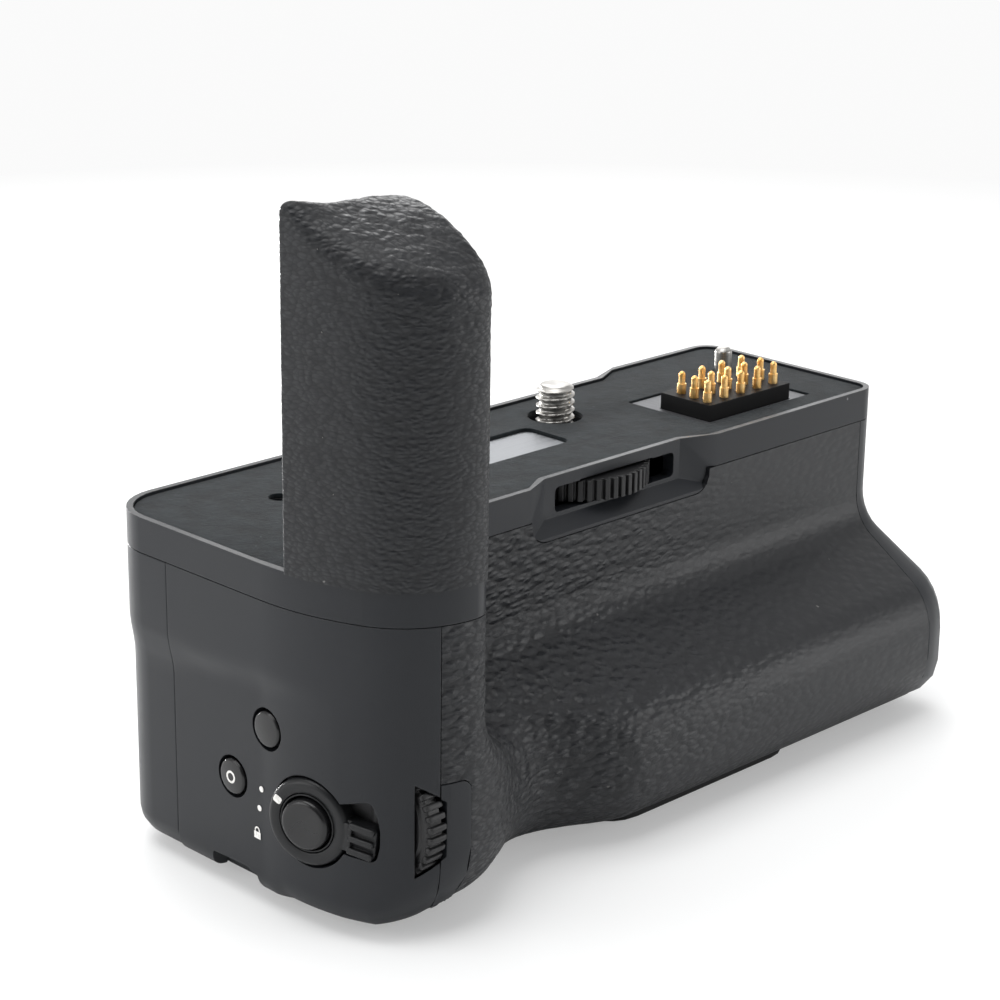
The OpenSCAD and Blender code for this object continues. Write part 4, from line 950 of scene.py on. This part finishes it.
def coverGrid():
    top, foot = body["rim"] - body["band"] - body["seam"], body["foot"]
    rows = cover["walls"] + cover["turns"] + 1
    points = []
    for j in range(cover["columns"] + 1):
        s = sum(coverRuns) * j / cover["columns"]
        p, inward, rb, step = coverColumn(s)
        # the fold starts as soft as on the rear case and gets tighter
        tight = smooth(0, 7, s)
        start = body["rim"] - endFold["from"] - endFold["drop"] + endFold["rise"] * smooth(0, 24, s)
        for k in range(cover["walls"]):
            z = top + (foot + rb - top) * k / cover["walls"]
            points.append((p.x + step * smooth(1.2 * tight, endFold["span"] - 1.6 * tight, start - z), p.y, z))
        for c, d in quarter(cover["turns"]):
            q = p + inward * rb * c
            points.append((q.x + step, q.y, foot + rb * d))
    return points, gridFaces(cover["columns"], rows)


def prism(outline, low, high, matrix):
    n = len(outline)
    points = [matrix @ Vector((x, y, z)) for z in (low, high) for x, y in outline]
    faces = [tuple(reversed(range(n))), tuple(range(n, 2 * n))]
    faces += [(k, (k + 1) % n, n + (k + 1) % n, n + k) for k in range(n)]
    return points, faces


def circlePoints(cx, cy, r, count=28, start=0.0, end=360.0):
    closed = abs(end - start) >= 360
    turns = [math.radians(start + (end - start) * k / count) for k in range(count if closed else count + 1)]
    return [(cx + r * math.cos(a), cy + r * math.sin(a)) for a in turns]


def roundCorners(outline, radius, steps=5):
    out, n = [], len(outline)
    for k in range(n):
        a, b, c = Vector(outline[k - 1]), Vector(outline[k]), Vector(outline[(k + 1) % n])
        u, v = a - b, c - b
        if u.angle(v) > 2.6:
            out.append(tuple(b))
            continue
        reach = min(radius, u.length * 0.45, v.length * 0.45)
        start, stop = b + u.normalized() * reach, b + v.normalized() * reach
        for i in range(steps + 1):
            t = i / steps
            out.append(tuple(start * (1 - t) ** 2 + b * 2 * t * (1 - t) + stop * t * t))
    return out


def leverRoom():
    angle, swing, width, reach = cover["lever"]
    r, side = reach + 0.6, width / 2 + 0.3
    edge = math.degrees(math.asin(side / r))
    a, b = math.radians(angle), math.radians(angle + swing)
    outline = [(side * math.sin(a), -side * math.cos(a))] + circlePoints(0, 0, r, 4, angle - edge, angle + swing + edge)
    return roundCorners(outline + [(-side * math.sin(b), side * math.cos(b))], 1.3)


def makeEndCover():
    mesh = meshFrom("endCover", *coverGrid())
    piece = thickened("coverWork", mesh, cover["thickness"], -1 if mesh.polygons[0].normal.x < 0 else 1)
    x0, x1, y, z, r = cover["dial"]
    alongX = Matrix.Translation((0, y, z)) @ turn(90, "Y")
    sideways = Matrix(((0, 0, 1, 0), (1, 0, 0, 0), (0, 1, 0, 0), (0, 0, 0, 1)))
    cutters = [prism(circlePoints(0, 0, cover["ringHole"], 72), -8, 6, shutterFrame),
               prism(leverRoom(), -6, 6, shutterFrame)]
    cutters += [prism(circlePoints(0, 0, cover["keyHole"], 48), -4, 4, buttons[key]["frame"])
                for key in ("fn_button", "quick_button")]
    cutters += [prism(circlePoints(0, 0, r, 96), x0, x1, alongX), prism(cover["notch"], -2, 8, sideways)]
    holders = [linked("cutter", reworked(meshFrom("cutter", *solid), faceOutwards)) for solid in cutters]
    for holder in holders:
        cut = piece.modifiers.new("cut", "BOOLEAN")
        cut.operation, cut.solver, cut.object = "DIFFERENCE", "EXACT", holder
    done = evaluated(piece)
    for holder in holders:
        bpy.data.objects.remove(holder)
    return done


newPiece("fine_end_cover", makeEndCover(), "shellPlastic", "grip", "end_cover")
print("end cover cut")

# lock ring: a turned ring with a ribbed lever
lockRing = {"outer": 6.5, "inner": 4.4, "low": -2.3, "top": 0.3, "round": 0.9, "angle": -96, "width": 4.8,
            "reach": 10.8, "index": 60, "leverTop": -0.45, "ribs": ((-1.9, 1.0), (0, 0.9), (1.9, 1.0))}


def joined(meshes):
    def gather(work):
        for mesh in meshes:
            work.from_mesh(mesh)
        bmesh.ops.remove_doubles(work, verts=work.verts, dist=1e-6)
        faceOutwards(work)

    return reworked(bpy.data.meshes.new("joined"), gather)


def roundedBar(x0, x1, y0, y1, corner, low, high, matrix, bevel, segments):
    outline = roundCorners([(x0, y0), (x1, y0), (x1, y1), (x0, y1)], corner)
    piece = linked("barWork", meshFrom("bar", *prism(outline, low, high, matrix)))
    addBevel(piece, bevel, segments, 50)
    return evaluated(piece)


def makeLockRing(r):
    inner, low, top = r["inner"], r["low"], r["top"]
    profile = [(inner, low), (r["outer"] - 0.2, low), (r["outer"], low + 0.2)] + roundOver(r["outer"], top, r["round"])
    profile += [(inner + 0.45, top), (inner + 0.1, top - 0.15), (inner, top - 0.45), (inner, low)]
    parts = [meshFrom("ring", *lathe(profile, shutterFrame, 96))]
    along, half, reach = shutterFrame @ turn(r["angle"], "Z"), r["width"] / 2, r["reach"]
    parts.append(roundedBar(5, reach, -half, half, 0.9, low, r["leverTop"], along, 0.15, 2))
    for y, w in r["ribs"]:
        parts.append(roundedBar(6.6, reach - 0.15, y - w / 2, y + w / 2, 0.35, -0.6, 0.3, along, 0.22, 3))
    parts.append(roundedBar(5.4, 7.1, -half + 0.3, half - 0.3, 0.3, -0.6, 0.15, along, 0.2, 3))
    return joined(parts)


newPiece("fine_lock_ring", makeLockRing(lockRing), "ringPlastic", "lock_ring", "lock_ring")
print("lock ring made")

# painted marks
marks = {"dots": [(4.2, 18.5, 0.45), (4.7, 15.4, 0.45)], "lock": (5.3, 11.4, 1.15), "ring": (0.62, 0.95),
         "index": (4.72, 6.05, 0.55), "lift": 0.03, "paint": 0.05}
coverMesh = frame["nodes"]["end_cover"].data
coverTree = BVHTree.FromPolygons([v.co for v in coverMesh.vertices], [tuple(p.vertices) for p in coverMesh.polygons])


def onCover(y, z):
    p = coverTree.ray_cast(toFrame((-20, y, z)), Vector((1, 0, 0)))[0]
    return Vector((p.x * 1000 + body["originX"] - marks["lift"], y, z))


def flatMark(outline, matrix=None):
    # outline points in a plane; on the cover they are (y, z)
    if matrix is None:
        return [onCover(y, z) for y, z in outline]
    return [matrix @ Vector((x, y, 0)) for x, y in outline]


def fanMesh(points):
    return points, [tuple(range(len(points)))]


def bandMesh(outer, inner, closed):
    n = len(outer)
    faces = [(k, (k + 1) % n, n + (k + 1) % n, n + k) for k in range(n if closed else n - 1)]
    return outer + inner, faces


def markPiece(name, parts, ridesOn):
    def paint(work):
        for points, faces in parts:
            verts = [work.verts.new(toFrame(p)) for p in points]
            for f in faces:
                work.faces.new([verts[i] for i in f])
        faceOutwards(work)

    mesh = reworked(bpy.data.meshes.new(name), paint)
    newPiece(name, evaluated(thickened("markWork", mesh, marks["paint"], 0)), "markPaint", ridesOn)


def padlock(y, z, s):
    side, low, high, arch = 0.62 * s, z - 0.8 * s, z + 0.1 * s, z + 0.3 * s
    case = [(y - side, low), (y + side, low), (y + side, high), (y - side, high)]
    outer, inner = ([(y + r, high)] + circlePoints(y, arch, r, 16, 0, 180) + [(y - r, high)]
                    for r in (0.5 * s, 0.31 * s))
    return [fanMesh(flatMark(case)), bandMesh(flatMark(outer), flatMark(inner), False)]


markPiece("mark_dots", [fanMesh(flatMark(circlePoints(*dot))) for dot in marks["dots"]], "grip")
markPiece("mark_padlock", padlock(*marks["lock"]), "grip")
quickTop = buttons["quick_button"]["frame"] @ Matrix.Translation((0, 0, buttons["quick_button"]["top"] + 0.13))
inner, outer = (flatMark(circlePoints(0, 0, r), quickTop) for r in marks["ring"])
markPiece("mark_quick_ring", [bandMesh(outer, inner, True)], "quick_button")


def indexMark(r0, r1, half):
    # a bar across the crest of the ring, following its rounded edge
    crest, points = lockRing["outer"] - lockRing["round"], []
    for k in range(9):
        r = r0 + (r1 - r0) * k / 8
        drop = lockRing["round"] - math.sqrt(lockRing["round"] ** 2 - max(0.0, r - crest) ** 2)
        side = half * math.sqrt(max(0.3, 1 - (abs(k - 4) / 4.6) ** 4))
        points += [indexFrame @ Vector((r, y, lockRing["top"] - drop + marks["lift"])) for y in (-side, side)]
    return points, [(2 * k, 2 * k + 1, 2 * k + 3, 2 * k + 2) for k in range(8)]


indexFrame = shutterFrame @ turn(lockRing["index"], "Z")
markPiece("mark_index", [indexMark(*marks["index"])], "lock_ring")
print("marks painted")

# floor, light and camera
stage = {"floor": 3.0, "tone": (0.93, 0.935, 0.935), "whiteFrom": 0.16, "whiteAt": 0.5, "lift": 0.34, "white": 0.96,
         "fill": (0.8, 0.12), "towards": (-0.68, -0.68, 0.27)}


def makeFloor():
    s = stage["floor"]
    mesh = bpy.data.meshes.new("floor")
    mesh.from_pydata([(-s, -s, 0), (s, -s, 0), (s, s, 0), (-s, s, 0)], [], [(0, 1, 2, 3)])
    material, tree, shader, coords = startMaterial("paleFloor", Roughness=0.7)
    tone = mixColour(tree, noiseAt(tree, coords, 3, 2), stage["tone"], (0.95, 0.955, 0.955))
    setInputs(tree, shader, {"Base Color": tone})
    # camera rays see the floor partly as white glow, about a third of it even next to the object: painted light that
    # lightens the object's shadow there; further out the glow takes over and the floor turns white
    away = vectorMath(tree, "LENGTH", coords, result="Value")
    seen = addNode(tree, "ShaderNodeLightPath").outputs["Is Camera Ray"]
    share = times(tree, seen, remap(tree, away, stage["whiteFrom"], stage["whiteAt"], stage["lift"], 1))
    glow = addNode(tree, "ShaderNodeEmission", {"Color": (1, 1, 1, 1), "Strength": stage["white"]})
    mix = addNode(tree, "ShaderNodeMixShader", {0: share, 1: shader.outputs[0], 2: glow.outputs[0]})
    tree.links.new(mix.outputs[0], tree.nodes["Material Output"].inputs["Surface"])
    mesh.materials.append(material)
    linked("floor", mesh)


makeFloor()


def makeWorld():
    world = bpy.data.worlds.new("studio")
    world.use_nodes = True
    bpy.context.scene.world = world
    tree = world.node_tree
    back = tree.nodes["Background"]
    path = addNode(tree, "ShaderNodeLightPath").outputs
    seen = math2(tree, "MAXIMUM", path["Is Camera Ray"], path["Is Transmission Ray"])
    ray = addNode(tree, "ShaderNodeTexCoord").outputs["Generated"]
    facing = vectorMath(tree, "DOT_PRODUCT", ray, stage["towards"], result="Value")
    fill = remap(tree, facing, 0.1, 0.95, *stage["fill"])
    strength = math2(tree, "MAXIMUM", times(tree, seen, stage["white"]), fill)
    setInputs(tree, back, {"Color": (1, 1, 1, 1), "Strength": strength})


makeWorld()

lamps = {
    "keySoftbox": {"place": (-0.16, 0.02, 0.78), "aim": (0.0, 0.0, 0.05), "size": (0.6, 0.6), "power": 4.2},
    "sideSoftbox": {"place": (-0.75, 0.25, 0.35), "aim": (0.0, 0.0, 0.03), "size": (0.5, 0.5), "power": 2.35},
    "leftStrip": {"place": (0.02, 0.75, 0.028), "aim": (-0.07, 0.02, 0.028), "size": (0.2, 0.05), "power": 7.0},
    "frontSoftbox": {"place": (0.5, -0.62, 0.22), "aim": (0.02, 0.0, 0.03), "size": (0.5, 0.4), "power": 1.8},
    "rightStrip": {"place": (0.64, 0.44, 0.24), "aim": (-0.06, 0.0, 0.09), "size": (0.3, 0.3), "power": 0.55},
    "rearStrip": {"place": (0.35, 0.6, 0.5), "aim": (0.0, 0.0, 0.05), "size": (0.6, 0.25), "power": 2.7}}
for name, lamp in lamps.items():
    light = bpy.data.lights.new(name, "AREA")
    light.shape = "RECTANGLE"
    light.size, light.size_y = lamp["size"]
    light.energy = lamp["power"]
    holder = linked(name, light)
    holder.location = lamp["place"]
    holder.rotation_euler = (Vector(lamp["aim"]) - Vector(lamp["place"])).to_track_quat("-Z", "Y").to_euler()

view = {"place": (-0.29341, -0.27176, 0.17392), "azimuth": -45.148, "elevation": 18.316, "roll": -0.764, "lens": 94.286}


def makeCamera():
    a, e, r = (math.radians(view[k]) for k in ("azimuth", "elevation", "roll"))
    back = Vector((math.sin(a) * math.cos(e), -math.cos(a) * math.cos(e), math.sin(e)))
    right = (-back).cross(Vector((0, 0, 1))).normalized()
    down = (-back).cross(right)
    axes = (right * math.cos(r) + down * math.sin(r), right * math.sin(r) - down * math.cos(r), back)
    camera = linked("camera", bpy.data.cameras.new("camera"))
    camera.matrix_world = Matrix.Translation(view["place"]) @ Matrix(axes).transposed().to_4x4()
    camera.data.lens = view["lens"]
    camera.data.sensor_width = 36
    camera.data.clip_start = 0.01
    bpy.context.scene.camera = camera


makeCamera()
bpy.context.scene.view_settings.view_transform = "Standard"
print("stage, lamps and camera set")
